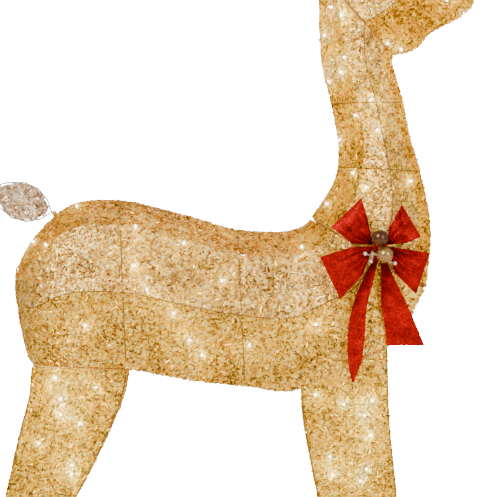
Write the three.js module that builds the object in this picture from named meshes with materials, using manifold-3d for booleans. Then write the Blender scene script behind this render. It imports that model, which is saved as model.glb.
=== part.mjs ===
// Light up yard reindeer: welded wire sections that plug together, each wrapped in glitter mesh
// fabric and lit from inside, with a ribbon bow tied on at the chest.
// Millimetres. +X towards the nose, +Y towards the animal's left, +Z up, feet on Z = 0.
import * as THREE from "three";
import { mergeVertices } from "three/addons/utils/BufferGeometryUtils.js";
import Module from "manifold-3d";

const wasm = await Module();
wasm.setup();

// ---- Driving dimensions ------------------------------------------------------------------------

// Body sizes
const bellyHeight = 464; // ground to the lowest belly wire
const bodyDepth = 250; // belly to back
const bodyLength = 656; // rump to the front of the chest
const bodyWidth = 236;
const neckHeight = 392; // neck seam to head seam
const neckWidth = 160;
const headLength = 250;
const headWidth = 104;
const bandWidth = 40; // bands of denser fabric along the back and both edges of the neck
const legSetOut = 72; // centre plane to the middle of a leg at its top
const footSetOut = 84; // centre plane to the middle of a foot
const legWidth = 68; // across a leg at its top
const footWidth = 38;

// Wire, fabric and fits
const wireRadius = 2;
const wireSides = 4;
const hoopInset = 2.8; // centre of a lengthwise wire to the centre of the hoop welded inside it
const fabricThickness = 1.2;
const fabricGap = 0.5; // frame wire to the inside of the fabric
const panelGap = 0.6; // between two fabric panels that meet at a wire
const bareEdge = 6; // strip along the lower body wires where they stay bare for the legs
const seamGap = 0.35; // between the bare end rings of two sections
const seat = 0.3; // gap left where two pieces rest on each other

// Plug-in fittings
const prongRadius = 2.4;
const boreClearance = 0.4;
const sleeveWall = 1.6;
const sleeveLength = 40;
const prongLength = 34;
const roundSides = 6;

// Feet
const footHeight = 10;
const footLip = 4; // foot pad past the frame

// Lights
const stringRadius = 1.2;
const bulbRadius = 2.6;
const bulbLength = 10;
const bulbGap = 0.4;
const plugSize = 9;
const plugLength = 14;
const clipSetOff = 5; // a string clip from the corner of its hoop

// Leaf-shaped parts
const leafWireRadius = 1.6;
const leafSides = 6;
const earLength = 104;
const earWidth = 46;
const tailLength = 112;
const tailWidth = 62;
const tailPinRadius = 1.8;
const tailPinLength = 16;
const tailPostHeight = 13;

// Antlers
const antlerHeight = 290;
const antlerSpread = 157; // outward reach of one antler from the centre plane
const antlerSweep = 62; // how far back the beam bows before it comes forward
const antlerRadius = 9;
const tineRadius = 6.5;
const socketHeight = 32;

// Bow
const loopDepth = 28;
const ribbonThickness = 3;
const knotHalf = 12;
const berryRadius = 13.5;
const berryGap = 1.2; // between the two balls
const berryStemRadius = 1.5;
const beadRadius = 3.6;
const tieRadius = 1.2;
const bowClearance = 2.5;

// ---- Finishes ----------------------------------------------------------------------------------

const finish = (color, roughness, metalness) => ({ color, roughness, metalness });
const finishes = {
  frameWire: finish(0xb08a3c, 0.4, 0.8),
  goldFabric: finish(0xe8a020, 0.6, 0.3),
  champagneFabric: finish(0xcfae84, 0.6, 0.3),
  legFabric: finish(0xf0b848, 0.6, 0.3),
  lights: finish(0xfff0c0, 0.3, 0.0),
  silverWire: finish(0xc8c4bc, 0.35, 0.9),
  ribbon: finish(0xc01018, 0.7, 0.1),
  bronze: finish(0x7a4a28, 0.3, 0.7),
  champagne: finish(0xd8b070, 0.3, 0.7),
  plastic: finish(0x6e5a34, 0.5, 0.0),
};

// ---- Solids ------------------------------------------------------------------------------------

const vec = (x, y, z) => new THREE.Vector3(x, y, z);

// A closed mesh as a solid, turned face out.
function solid(geometry) {
  const flat = geometry.index ? geometry.toNonIndexed() : geometry.clone();
  flat.deleteAttribute("normal");
  flat.deleteAttribute("uv");
  const merged = mergeVertices(flat, 1e-4);
  const vertProperties = new Float32Array(merged.attributes.position.array);
  const triVerts = new Uint32Array(merged.index.array);
  const made = new wasm.Manifold(new wasm.Mesh({ numProp: 3, vertProperties, triVerts }));
  if (made.volume() > 0) return made;
  triVerts.reverse();
  return new wasm.Manifold(new wasm.Mesh({ numProp: 3, vertProperties, triVerts }));
}

// A solid from a list of points and a list of triangles.
function solidFrom(points, triangles) {
  const geometry = new THREE.BufferGeometry();
  geometry.setAttribute(
    "position",
    new THREE.Float32BufferAttribute(triangles.flatMap((k) => points[k].toArray()), 3),
  );
  return solid(geometry);
}

const joined = (solids) => wasm.Manifold.union(solids);

const model = new THREE.Group();

// Adds a solid to the model as a named mesh.
function piece(name, made, look) {
  const mesh = made.simplify(0.002).getMesh();
  const geometry = new THREE.BufferGeometry();
  geometry.setAttribute("position", new THREE.Float32BufferAttribute(mesh.vertProperties, 3));
  geometry.setIndex(new THREE.Uint32BufferAttribute(mesh.triVerts, 1));
  const body = new THREE.Mesh(geometry, new THREE.MeshStandardMaterial({ ...look, flatShading: true }));
  body.name = name;
  model.add(body);
}

// A straight rod from one point to another, running `past` beyond both.
function rod(from, to, radius, sides = wireSides, past = 0, endRadius = radius) {
  const along = to.clone().sub(from);
  const length = along.length();
  along.normalize();
  const geometry = new THREE.CylinderGeometry(endRadius, radius, length + 2 * past, sides);
  geometry.applyQuaternion(new THREE.Quaternion().setFromUnitVectors(vec(0, 1, 0), along));
  const middle = from.clone().lerp(to, 0.5);
  geometry.translate(middle.x, middle.y, middle.z);
  return solid(geometry);
}

// A wire bent at each of a list of points, with mitred bends, of one radius or a radius for each
// point. A loop ends where it starts.
function bentWire(points, radius, sides = wireSides, loop = false) {
  const radii = Array.isArray(radius) ? radius : points.map(() => radius);
  const count = points.length;
  const step = (k) => points[(k + 1) % count].clone().sub(points[(k + count) % count]).normalize();
  const into = (k) => (k === 0 && !loop ? step(0) : step((k + count - 1) % count));
  const out = (k) => (k === count - 1 && !loop ? into(k) : step(k));
  const miter = (k) => into(k).add(out(k)).normalize();
  const upright = Math.abs(into(0).z) < 0.9 ? vec(0, 0, 1) : vec(1, 0, 0);
  const across = into(0).cross(upright).normalize();
  const over = across.clone().cross(into(0)).normalize();
  let ring = Array.from({ length: sides }, (_, k) => {
    const turn = (2 * Math.PI * (k + 0.5)) / sides;
    return points[0].clone().addScaledVector(across, Math.cos(turn)).addScaledVector(over, Math.sin(turn));
  });
  const slide = (p, k) => {
    const along = into(k);
    const reach = points[k].clone().sub(p).dot(miter(k)) / along.dot(miter(k));
    return p.clone().addScaledVector(along, reach);
  };
  const rings = points.map((point, k) => {
    ring = ring.map((p) => slide(p, k));
    return ring.map((p) => point.clone().addScaledVector(p.clone().sub(point), radii[k]));
  });
  return tubeFrom(rings, loop);
}

// A solid tube through rings of corners, with flat ends or closed into a loop.
function tubeFrom(rings, loop) {
  const sides = rings[0].length;
  const points = rings.flat();
  const triangles = [];
  const at = (i, j) => (i % rings.length) * sides + (j % sides);
  for (let i = 0; i < rings.length - (loop ? 0 : 1); i++)
    for (let j = 0; j < sides; j++)
      triangles.push(at(i, j), at(i, j + 1), at(i + 1, j + 1), at(i, j), at(i + 1, j + 1), at(i + 1, j));
  if (!loop)
    for (let j = 1; j < sides - 1; j++)
      triangles.push(at(0, 0), at(0, j + 1), at(0, j), at(rings.length - 1, 0), at(rings.length - 1, j),
        at(rings.length - 1, j + 1));
  return solidFrom(points, triangles);
}

// A flat plate from an outline of [x, y] points in its own plane, set at `origin` with its own axes.
function plate(outline, thickness, origin, axisX, axisY) {
  const shape = new THREE.Shape(outline.map(([x, y]) => new THREE.Vector2(x, y)));
  const geometry = new THREE.ExtrudeGeometry(shape, { depth: thickness, bevelEnabled: false });
  geometry.translate(0, 0, -thickness / 2);
  const axisZ = axisX.clone().cross(axisY);
  geometry.applyMatrix4(new THREE.Matrix4().makeBasis(axisX, axisY, axisZ).setPosition(origin));
  return solid(geometry);
}

// ---- Lofted sections ---------------------------------------------------------------------------

// Points every ring of a section outwards by a distance, measured square to the facets that meet at
// each corner. The end rings stay in their own planes.
function offset(rings, distance) {
  const columns = rings[0].length;
  const centre = rings.map((ring) => ring.reduce((sum, p) => sum.add(p), vec(0, 0, 0)).divideScalar(columns));
  const facet = (i, j) => {
    const next = (j + 1) % columns;
    const [a, b, c, d] = [rings[i][j], rings[i][next], rings[i + 1][next], rings[i + 1][j]];
    const normal = c.clone().sub(a).cross(d.clone().sub(b)).normalize();
    const outward = a.clone().add(b).add(c).add(d).divideScalar(4).sub(centre[i]).add(
      a.clone().add(b).add(c).add(d).divideScalar(4).sub(centre[i + 1]));
    return normal.dot(outward) < 0 ? normal.negate() : normal;
  };
  const endPlane = (ring) => ring[2].clone().sub(ring[0]).cross(ring[columns - 2].clone().sub(ring[0])).normalize();
  return rings.map((ring, i) => ring.map((point, j) => {
    const before = (j + columns - 1) % columns;
    const rows = [i - 1, i].filter((k) => k >= 0 && k < rings.length - 1);
    const asks = rows.flatMap((k) => [facet(k, before), facet(k, j)]).map((n) => [n, distance, 1]);
    if (rows.length === 1) asks.push([endPlane(ring), 0, 100]);
    return point.clone().add(leastSquares(asks));
  }));
}

// The vector whose dot product with each normal comes nearest to what is asked of it.
function leastSquares(asks) {
  const sums = new Array(9).fill(0);
  const right = vec(0, 0, 0);
  for (const [normal, value, weight] of asks) {
    const n = normal.toArray();
    n.forEach((a, r) => n.forEach((b, c) => (sums[3 * r + c] += weight * a * b)));
    right.addScaledVector(normal, weight * value);
  }
  [0, 4, 8].forEach((k) => (sums[k] += 1e-4));
  return right.applyMatrix3(new THREE.Matrix3().set(...sums).invert());
}

// A closed skin between an inner and an outer grid of points, open at both ends. A sleeve runs all
// the way round; a panel has two long edges.
function skin(inner, outer, sleeve) {
  const rows = inner.length;
  const columns = inner[0].length;
  const points = [...inner.flat(), ...outer.flat()];
  const at = (layer, i, j) => layer * rows * columns + i * columns + (j % columns);
  const triangles = [];
  const quad = (a, b, c, d) => triangles.push(a, b, c, a, c, d);
  const last = sleeve ? columns : columns - 1;
  for (let j = 0; j < last; j++) {
    for (let i = 0; i < rows - 1; i++) {
      quad(at(1, i, j), at(1, i, j + 1), at(1, i + 1, j + 1), at(1, i + 1, j));
      quad(at(0, i, j), at(0, i + 1, j), at(0, i + 1, j + 1), at(0, i, j + 1));
    }
    quad(at(0, 0, j), at(0, 0, j + 1), at(1, 0, j + 1), at(1, 0, j));
    quad(at(1, rows - 1, j), at(1, rows - 1, j + 1), at(0, rows - 1, j + 1), at(0, rows - 1, j));
  }
  if (!sleeve)
    for (let i = 0; i < rows - 1; i++) {
      quad(at(0, i, 0), at(1, i, 0), at(1, i + 1, 0), at(0, i + 1, 0));
      quad(at(1, i, last), at(0, i, last), at(0, i + 1, last), at(1, i + 1, last));
    }
  return solidFrom(points, triangles);
}

// A fabric panel over some neighbouring columns of a section, trimmed at its two long edges.
function panel(rings, columns, trims) {
  const strip = (grid) => grid.map((ring) => {
    const row = columns.map((j) => ring[j].clone());
    const ends = [[0, 1, trims[0]], [row.length - 1, row.length - 2, trims[1]]];
    const moved = ends.map(([at, next, trim]) => row[at].clone().add(
      row[next].clone().sub(row[at]).setLength(trim)));
    row[0] = moved[0];
    row[row.length - 1] = moved[1];
    return row;
  });
  const inner = strip(offset(rings, wireRadius + fabricGap));
  const outer = strip(offset(rings, wireRadius + fabricGap + fabricThickness));
  return skin(inner, outer, false);
}

// A fabric sleeve all the way round a section.
const sleeveOf = (rings) =>
  skin(offset(rings, wireRadius + fabricGap), offset(rings, wireRadius + fabricGap + fabricThickness), true);

// A flat piece of fabric over a section's end ring.
function endCap(rings, out) {
  const outline = offset(rings, wireRadius + fabricGap + fabricThickness);
  const ring = out < 0 ? outline[0] : outline[outline.length - 1];
  const normal = ring[2].clone().sub(ring[0]).cross(ring[ring.length - 2].clone().sub(ring[0])).normalize();
  if (normal.x * out < 0) normal.negate();
  const near = ring.map((p) => p.clone().addScaledVector(normal, wireRadius + seat));
  const far = near.map((p) => p.clone().addScaledVector(normal, fabricThickness));
  const count = ring.length;
  const triangles = [];
  for (let j = 1; j < count - 1; j++) triangles.push(0, j + 1, j, count, count + j, count + j + 1);
  for (let j = 0; j < count; j++) {
    const next = (j + 1) % count;
    triangles.push(j, next, count + next, j, count + next, count + j);
  }
  return solidFrom([...near, ...far], triangles);
}

// The welded wires of a section: a wire along every column, and hoops at the chosen rings, welded
// on from inside, or across the wires' ends at either end.
function wires(rings, hoops) {
  const inside = offset(rings, -hoopInset);
  const isEnd = (i) => i === 0 || i === rings.length - 1;
  const around = hoops.map((i) => (isEnd(i)
    ? bentWire(rings[i], wireRadius, roundSides, true)
    : bentWire(inside[i], wireRadius, wireSides, true)));
  const along = rings[0].map((_, j) => bentWire(rings.map((ring) => ring[j]), wireRadius));
  return [...around, ...along];
}

// A hoop of seven corners between a point on the back and a point below it: the spine, then the
// right side's band edge, middle and lower edge, then the left side's.
function hoop({ top, low, half, lowHalf, band = bandWidth, bandShare = 0.72, middle = 0.55 }) {
  const depth = Math.hypot(top[0] - low[0], top[1] - low[1]);
  const at = (share, y) => vec(
    THREE.MathUtils.lerp(top[0], low[0], share), y, THREE.MathUtils.lerp(top[1], low[1], share));
  const right = [[band / depth, half * bandShare], [middle, half], [1, lowHalf]];
  return [
    at(0, 0),
    ...right.map(([share, y]) => at(share, -y)),
    ...[...right].reverse().map(([share, y]) => at(share, y)),
  ];
}
const [SPINE, BAND, MIDDLE, LOWER, LOWER_LEFT, MIDDLE_LEFT, BAND_LEFT] = [0, 1, 2, 3, 4, 5, 6];

// ---- Torso -------------------------------------------------------------------------------------

// A point of the torso's side outline, from its place along the body and its height in the body.
const bodyPoint = (along, up) => [(along - 0.5) * bodyLength, bellyHeight + up * bodyDepth];

// Each hoop's back point, belly point, half width and lower half width, as shares of the body.
const torsoOutline = [
  [[0.0, 0.76], [0.006, 0.4], 0.22, 0.16],
  [[0.035, 0.93], [0.04, 0.15], 0.72, 0.6],
  [[0.12, 1.14], [0.13, 0.14], 0.95, 0.88],
  [[0.245, 1.18], [0.265, 0.125], 1.0, 0.88],
  [[0.4, 1.09], [0.4, 0.06], 0.98, 0.72],
  [[0.54, 0.99], [0.56, 0.01], 0.94, 0.7],
  [[0.655, 0.98], [0.695, 0.0], 0.9, 0.84],
  [[0.695, 1.01], [0.8, 0.139], 0.86, 0.84],
  [[0.71, 1.035], [0.915, 0.29], 0.8, 0.7],
  [[0.72, 1.06], [0.992, 0.62], 0.7, 0.4],
];
const torso = torsoOutline.map(([top, low, half, lowHalf]) => hoop({
  top: bodyPoint(...top),
  low: bodyPoint(...low),
  half: (half * bodyWidth) / 2,
  lowHalf: (lowHalf * bodyWidth) / 2,
  band: top[1] < 0.8 ? bandWidth / 2 : bandWidth,
}));
const torsoHoops = [0, 2, 4, 5, 7, 9];
const seamRing = torso[torso.length - 1];

// Square to the neck seam, pointing up out of the torso.
const seamNormal = (() => {
  const down = seamRing[LOWER].clone().sub(seamRing[SPINE]).setY(0).normalize();
  return vec(-down.z, 0, down.x);
})();

// The bare lower wire of the torso at a place along it, on the right side.
function lowerWirePoint(x) {
  const line = torso.map((ring) => ring[LOWER]);
  const k = line.findIndex((p, i) => i > 0 && p.x >= x);
  const share = (x - line[k - 1].x) / (line[k].x - line[k - 1].x);
  return line[k - 1].clone().lerp(line[k], share);
}

// ---- Neck --------------------------------------------------------------------------------------

const seamLift = seamNormal.clone().multiplyScalar(2 * wireRadius + seamGap);
const neckPoint = (along, up) => [
  (along - 0.5) * bodyLength,
  seamRing[SPINE].z + seamLift.z + up * neckHeight,
];

// Each hoop's rear point, front point and half width, above the seam.
const neckOutline = [
  [[0.755, 0.075], [1.007, -0.07], 1.0, 0.42],
  [[0.79, 0.21], [0.982, 0.19], 0.86, 0.36],
  [[0.79, 0.33], [0.957, 0.335], 0.74, 0.34],
  [[0.774, 0.475], [0.94, 0.475], 0.65, 0.34],
  [[0.75, 0.66], [0.915, 0.62], 0.6, 0.34],
];
const neckBase = seamRing.map((p) => p.clone().add(seamLift));

// The head seam leans forward and up from the throat.
const headSeamTop = [(0.742 - 0.5) * bodyLength, seamRing[SPINE].z + seamLift.z + neckHeight];
const headSeamLow = [(0.912 - 0.5) * bodyLength, seamRing[SPINE].z + seamLift.z + 0.675 * neckHeight];
const headSeamHalf = (0.6 * neckWidth) / 2;
const neckEnd = hoop({
  top: headSeamTop, low: headSeamLow, half: headSeamHalf, lowHalf: (0.34 * neckWidth) / 2, middle: 0.62,
});
const neck = [
  neckBase,
  ...neckOutline.map(([rear, front, half, frontHalf]) => hoop({
    top: neckPoint(...rear),
    low: neckPoint(...front),
    half: (half * neckWidth) / 2,
    lowHalf: (frontHalf * neckWidth) / 2,
    middle: 0.62,
  })),
  neckEnd,
];
const neckHoops = [0, 2, 4, 6];

// ---- Head --------------------------------------------------------------------------------------

const headSeamNormal = (() => {
  const down = neckEnd[LOWER].clone().sub(neckEnd[SPINE]).setY(0).normalize();
  return vec(-down.z, 0, down.x);
})();
const headLift = headSeamNormal.clone().multiplyScalar(2 * wireRadius + seamGap);
const headStart = neckEnd[SPINE].clone().add(headLift);
const headPoint = (along, up) => [headStart.x + along * headLength, headStart.z + up * headLength];

// Each hoop's crown point, jaw point, half width and jaw half width.
const headOutline = [
  [[0.09, 0.25], [0.585, -0.475], 1.0, 0.4],
  [[0.33, 0.385], [0.69, -0.37], 0.95, 0.42],
  [[0.6, 0.295], [0.785, -0.315], 0.76, 0.42],
  [[0.81, 0.125], [0.88, -0.265], 0.58, 0.4],
  [[0.965, -0.02], [0.955, -0.205], 0.42, 0.3],
];
const head = [
  neckEnd.map((p) => p.clone().add(headLift)),
  ...headOutline.map(([crown, jaw, half, jawHalf]) => hoop({
    top: headPoint(...crown),
    low: headPoint(...jaw),
    half: (half * headWidth) / 2,
    lowHalf: (jawHalf * headWidth) / 2,
    band: 0.16 * Math.hypot(crown[0] - jaw[0], crown[1] - jaw[1]) * headLength,
    middle: 0.66,
  })),
];
const headHoops = [0, 2, 3, 5];

// ---- Legs --------------------------------------------------------------------------------------

// Rear and front edge of each leg hoop from the body's middle, as shares of the body's length, then
// its height and thickness, from top to foot. The first hoop follows the torso's lower wire, and the
// last one stands on the foot pad.
const hindLegOutline = [
  [-0.457, -0.238, 1, 1.0],
  [-0.463, -0.248, 0.92, 0.98],
  [-0.482, -0.277, 0.82, 0.92],
  [-0.506, -0.326, 0.68, 0.8],
  [-0.527, -0.396, 0.49, 0.62],
  [-0.502, -0.418, 0.36, 0.5],
  [-0.482, -0.409, 0.18, 0.46],
];
const frontLegOutline = [
  [0.201, 0.396, 1, 1.0],
  [0.206, 0.402, 0.88, 0.98],
  [0.221, 0.41, 0.76, 0.92],
  [0.241, 0.419, 0.62, 0.82],
  [0.265, 0.412, 0.48, 0.66],
  [0.293, 0.398, 0.36, 0.54],
  [0.311, 0.392, 0.18, 0.48],
];
const hindFoot = [-0.485, -0.393];
const frontFoot = [0.308, 0.402];
const ankleHeight = footHeight + seat + wireRadius;
const legHoops = [0, 4, 7];

// The hoops of a leg on one side: rear outer, front outer, front inner, rear inner corners.
function legRings(outline, foot, side) {
  const corners = (rear, front, heights, setOut, half) => [
    vec(rear, side * (setOut + half), heights[0]),
    vec(front, side * (setOut + half), heights[1]),
    vec(front, side * (setOut - half), heights[1]),
    vec(rear, side * (setOut - half), heights[0]),
  ];
  const along = ([from, to]) => [from * bodyLength, to * bodyLength];
  const [rear, front] = along(outline[0]);
  const drop = 2 * wireRadius + fabricGap + fabricThickness + seat;
  const slope = (lowerWirePoint(front).z - lowerWirePoint(rear).z) / (front - rear);
  const heights = [rear, front].map((x) => lowerWirePoint(x).z - drop * Math.hypot(1, slope));
  const rings = [corners(rear, front, heights, legSetOut, legWidth / 2)];
  for (const row of outline.slice(1)) {
    const [, , level, share] = row;
    const high = [level * Math.min(...heights), level * Math.min(...heights)];
    const setOut = THREE.MathUtils.lerp(footSetOut, legSetOut, level);
    rings.push(corners(...along(row), high, setOut, (share * legWidth) / 2));
  }
  rings.push(corners(...along(foot), [ankleHeight, ankleHeight], footSetOut, footWidth / 2));
  return rings;
}

const legs = {
  hind_left: legRings(hindLegOutline, hindFoot, 1),
  hind_right: legRings(hindLegOutline, hindFoot, -1),
  front_left: legRings(frontLegOutline, frontFoot, 1),
  front_right: legRings(frontLegOutline, frontFoot, -1),
};

// ---- Plug-in fittings --------------------------------------------------------------------------

const upright = (x, y, low, high, radius, sides = roundSides) =>
  rod(vec(x, y, low), vec(x, y, high), radius, sides);
const block = (x, y, low, high, size) => {
  const geometry = new THREE.BoxGeometry(size, size, high - low);
  geometry.translate(x, y, (low + high) / 2);
  return solid(geometry);
};

// A wire straight across a section, between the same place on its right and left sides.
function crossWire(right) {
  return rod(right, vec(right.x, -right.y, right.z), wireRadius);
}

// Shares along a leg's top hoop where its two prongs stand, and where its light plug stands.
const prongShares = [0.3, 0.78];
const plugShare = 0.6;
const legPlace = (rings, share) => rings[0][0].clone().lerp(rings[0][1], share).setY(
  (rings[0][0].y + rings[0][3].y) / 2);

// Shares down the neck seam where the neck's two prongs and its light plug stand.
const seamProngs = [[BAND, MIDDLE, 0.35], [MIDDLE, LOWER, 0.45]];
const seamPlace = (ring, [from, to, share]) => ring[from].clone().lerp(ring[to], share);
const seamPlug = seamRing[MIDDLE].clone().setY(0);

// ---- Light strings -----------------------------------------------------------------------------

const stringInset = hoopInset + wireRadius + bulbRadius + bulbGap;

// A string along a path: a wire that swells into a bulb in the middle of every few stretches.
function lightString(path, every = 2) {
  const points = [path[0]];
  const radii = [stringRadius];
  path.slice(1).forEach((point, k) => {
    const from = path[k];
    const length = from.distanceTo(point);
    if (k % every === 0)
      for (const [share, radius] of [[-0.7, stringRadius], [-0.5, bulbRadius], [0.5, bulbRadius], [0.7, stringRadius]]) {
        points.push(from.clone().lerp(point, 0.5 + (share * bulbLength) / length));
        radii.push(radius);
      }
    points.push(point);
    radii.push(stringRadius);
  });
  return bentWire(points, radii);
}

// A path that weaves over some columns of a grid of points, from row to row.
const weave = (grid, columns) => grid.flatMap((ring, i) => {
  const row = columns.map((j) => ring[j]);
  return i % 2 ? row.reverse() : row;
});

// Short clips that hold a section's string to the inside of its hoops, beside the corners.
function stringClips(rings, places) {
  const grids = [offset(rings, -stringInset), offset(rings, -(hoopInset + wireRadius + seat))];
  return places.map(([i, j]) => {
    const [near, hold] = grids.map((grid) => {
      const next = grid[i][(j + 1) % grid[i].length];
      return grid[i][j].clone().add(next.clone().sub(grid[i][j]).setLength(clipSetOff));
    });
    return bentWire([grids[0][i][j], near, hold], stringRadius);
  });
}

// The plug of a section's string: a block with an upright pin.
const plugPin = (x, y, level) => [
  block(x, y, level - plugLength, level, plugSize),
  upright(x, y, level - 1, level + plugLength, prongRadius),
];
// The socket that takes it: a block with a bore from below or above.
const socketBore = (x, y, low, high) => upright(x, y, low, high, prongRadius + boreClearance);

// ---- Torso pieces ------------------------------------------------------------------------------

const fabricOut = wireRadius + fabricGap + fabricThickness;
const sleeveRadius = prongRadius + boreClearance + sleeveWall;
const tailRoot = torso[1][SPINE].clone().lerp(torso[2][SPINE], 0.6);
const tailPin = tailRoot.clone().add(vec(0, 0, tailPostHeight));

function torsoFrame() {
  const parts = wires(torso, torsoHoops);
  const bores = [];
  for (const rings of Object.values(legs))
    for (const share of prongShares) {
      const place = legPlace(rings, share);
      const wire = lowerWirePoint(place.x);
      if (place.y < 0) parts.push(crossWire(wire));
      const low = wire.z;
      parts.push(upright(place.x, place.y, low, low + sleeveLength, sleeveRadius));
      bores.push(socketBore(place.x, place.y, low - 2 * wireRadius, low + sleeveLength + 1));
    }
  for (const spot of seamProngs) {
    const wire = seamPlace(seamRing, spot);
    const high = wire.z + seamLift.z - wireRadius - seat;
    parts.push(crossWire(wire));
    parts.push(upright(wire.x, 0, high - sleeveLength, high, sleeveRadius));
    bores.push(socketBore(wire.x, 0, high - sleeveLength - 1, high + 1));
  }
  for (const side of [-1, 1]) {
    const top = tailPin.clone().setY((side * tailPinLength) / 2);
    parts.push(rod(tailRoot, top, tailPinRadius, wireSides, tailPinRadius / 2));
  }
  parts.push(rod(
    tailPin.clone().setY(-tailPinLength / 2), tailPin.clone().setY(tailPinLength / 2), tailPinRadius, roundSides));
  return joined(parts).subtract(joined(bores));
}

// The belly fabric, with holes for the leg prongs, the light pins and the power inlet.
function bellyPanel() {
  const cloth = panel(torso, [LOWER, LOWER_LEFT], [bareEdge, bareEdge]);
  const holes = Object.values(legs).flatMap((rings) => [...prongShares, plugShare].map((share) => {
    const place = legPlace(rings, share);
    return upright(place.x, place.y, place.z - 20, place.z + 20, prongRadius + 1);
  }));
  holes.push(upright(inlet.x, inlet.y, inlet.z - 20, inlet.z + 20, inletRadius + 1, 12));
  return cloth.subtract(joined(holes));
}

function backPanel() {
  const cloth = panel(torso, [BAND_LEFT, SPINE, BAND], [panelGap / 2, panelGap / 2]);
  return cloth.subtract(upright(tailRoot.x, 0, tailRoot.z - 10, tailRoot.z + 20, 2 * wireRadius + 1));
}

// ---- Power inlet -------------------------------------------------------------------------------

const inletRadius = 8;
const inletLength = 26;
const inletPinRadius = 1.5;
const inletPinLength = 8;
const clipWall = 3;
const clipThickness = 6;
const inletHoop = offset(torso, -hoopInset)[4];
const inlet = torso[4][LOWER].clone().setY(0).add(vec(inletRadius + wireRadius + clipWall, 0, 0));

function powerInlet() {
  const low = inlet.z - fabricOut - 1;
  const parts = [upright(inlet.x, inlet.y, low, low + inletLength, inletRadius, 12)];
  for (const side of [-1, 1])
    parts.push(upright(inlet.x, inlet.y + side * 3.5, low - inletPinLength, low + 1, inletPinRadius, 6));
  return joined(parts);
}

// A clip plate with one eye round the inlet and one round the torso's hoop.
function inletClip() {
  const level = inlet.z + clipThickness / 2 - 1;
  const width = inletRadius + clipWall;
  const wire = inletHoop[LOWER];
  const outline = [
    [wire.x - wireRadius - clipWall, -width * 0.6], [inlet.x + width * 0.6, -width], [inlet.x + width, 0],
    [inlet.x + width * 0.6, width], [wire.x - wireRadius - clipWall, width * 0.6],
  ];
  const body = plate(outline, clipThickness, vec(0, 0, level), vec(1, 0, 0), vec(0, 1, 0));
  const hole = upright(inlet.x, inlet.y, level - 20, level + 20, inletRadius + seat, 12);
  const eye = rod(wire, inletHoop[LOWER_LEFT], wireRadius + seat, roundSides);
  return body.subtract(hole).subtract(eye);
}

function torsoString() {
  const inset = offset(torso, -stringInset);
  const lit = inset.slice(1, -1);
  const right = weave(lit, [BAND, MIDDLE, LOWER]).reverse();
  const left = weave(lit, [BAND_LEFT, MIDDLE_LEFT, LOWER_LEFT]);
  const parts = [lightString([...right, ...left], 3), ...stringClips(torso, [[2, MIDDLE], [5, MIDDLE_LEFT]])];
  const bores = [];
  for (const [name, rings] of Object.entries(legs)) {
    const place = legPlace(rings, plugShare);
    const level = lowerWirePoint(place.x).z;
    const near = inset[name.startsWith("hind") ? 2 : 7][name.endsWith("left") ? LOWER_LEFT : LOWER];
    const [low, high] = [level + seat, level + seat + plugLength];
    parts.push(block(place.x, place.y, low, high, plugSize));
    parts.push(rod(near, vec(place.x, place.y, high - 3), stringRadius));
    bores.push(socketBore(place.x, place.y, low - 1, high - 1 + 0.5));
  }
  const top = seamPlug.z - seamLift.z;
  parts.push(block(seamPlug.x, 0, top - plugLength, top, plugSize));
  parts.push(rod(lit[lit.length - 1][MIDDLE], vec(seamPlug.x, 0, top - plugLength + 2), stringRadius));
  bores.push(socketBore(seamPlug.x, 0, top - plugLength + 3, top + 1));
  parts.push(rod(inset[3][LOWER], vec(inlet.x, 0, inlet.z - fabricOut - 1 + inletLength + 2.5), stringRadius));
  return joined(parts).subtract(joined(bores));
}

piece("torso_frame", torsoFrame(), finishes.frameWire);
piece("torso_cover_back", backPanel(), finishes.goldFabric);
piece("torso_cover_right", panel(torso, [BAND, MIDDLE, LOWER], [panelGap / 2, bareEdge]), finishes.champagneFabric);
piece("torso_cover_left", panel(torso, [LOWER_LEFT, MIDDLE_LEFT, BAND_LEFT], [bareEdge, panelGap / 2]),
  finishes.champagneFabric);
piece("torso_cover_belly", bellyPanel(), finishes.champagneFabric);
piece("torso_cover_rump", endCap(torso, -1), finishes.goldFabric);
piece("torso_light_string", torsoString(), finishes.lights);
piece("power_inlet", powerInlet(), finishes.plastic);
piece("power_inlet_clip", inletClip(), finishes.plastic);

// ---- Legs, feet --------------------------------------------------------------------------------

function legFrame(rings) {
  const parts = wires(rings, legHoops);
  for (const share of prongShares) {
    const place = legPlace(rings, share);
    const [outer, inner] = [rings[0][0].y, rings[0][3].y];
    parts.push(rod(vec(place.x, outer, place.z), vec(place.x, inner, place.z), wireRadius));
    parts.push(upright(place.x, place.y, place.z - 1, place.z + prongLength, prongRadius));
  }
  return joined(parts);
}

function legString(rings) {
  const inset = offset(rings, -stringInset);
  const place = legPlace(rings, plugShare);
  const level = place.z - wireRadius;
  const lit = inset.slice(1, -1);
  const start = vec(place.x, place.y, level - plugLength + 2);
  const wire = lightString([start, ...lit.map((ring) => ring[1]), ...lit.map((ring) => ring[0]).reverse()]);
  return joined([wire, ...plugPin(place.x, place.y, level), ...stringClips(rings, [[4, 1], [4, 0]])]);
}

// A moulded pad that follows the outline of the leg's lowest hoop.
function footPad(rings) {
  const ring = rings[rings.length - 1];
  const middle = ring.reduce((sum, p) => sum.add(p), vec(0, 0, 0)).divideScalar(4);
  const outline = ring.map((p) => [
    p.x + footLip * Math.sign(p.x - middle.x), p.y + footLip * Math.sign(p.y - middle.y)]);
  return plate(outline, footHeight, vec(0, 0, footHeight / 2), vec(1, 0, 0), vec(0, 1, 0));
}

for (const [name, rings] of Object.entries(legs)) {
  piece(`leg_${name}_frame`, legFrame(rings), finishes.frameWire);
  piece(`leg_${name}_cover`, sleeveOf(rings), finishes.legFabric);
  piece(`leg_${name}_light_string`, legString(rings), finishes.lights);
  piece(`leg_${name}_foot`, footPad(rings), finishes.plastic);
}

// ---- Neck pieces -------------------------------------------------------------------------------

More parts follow.
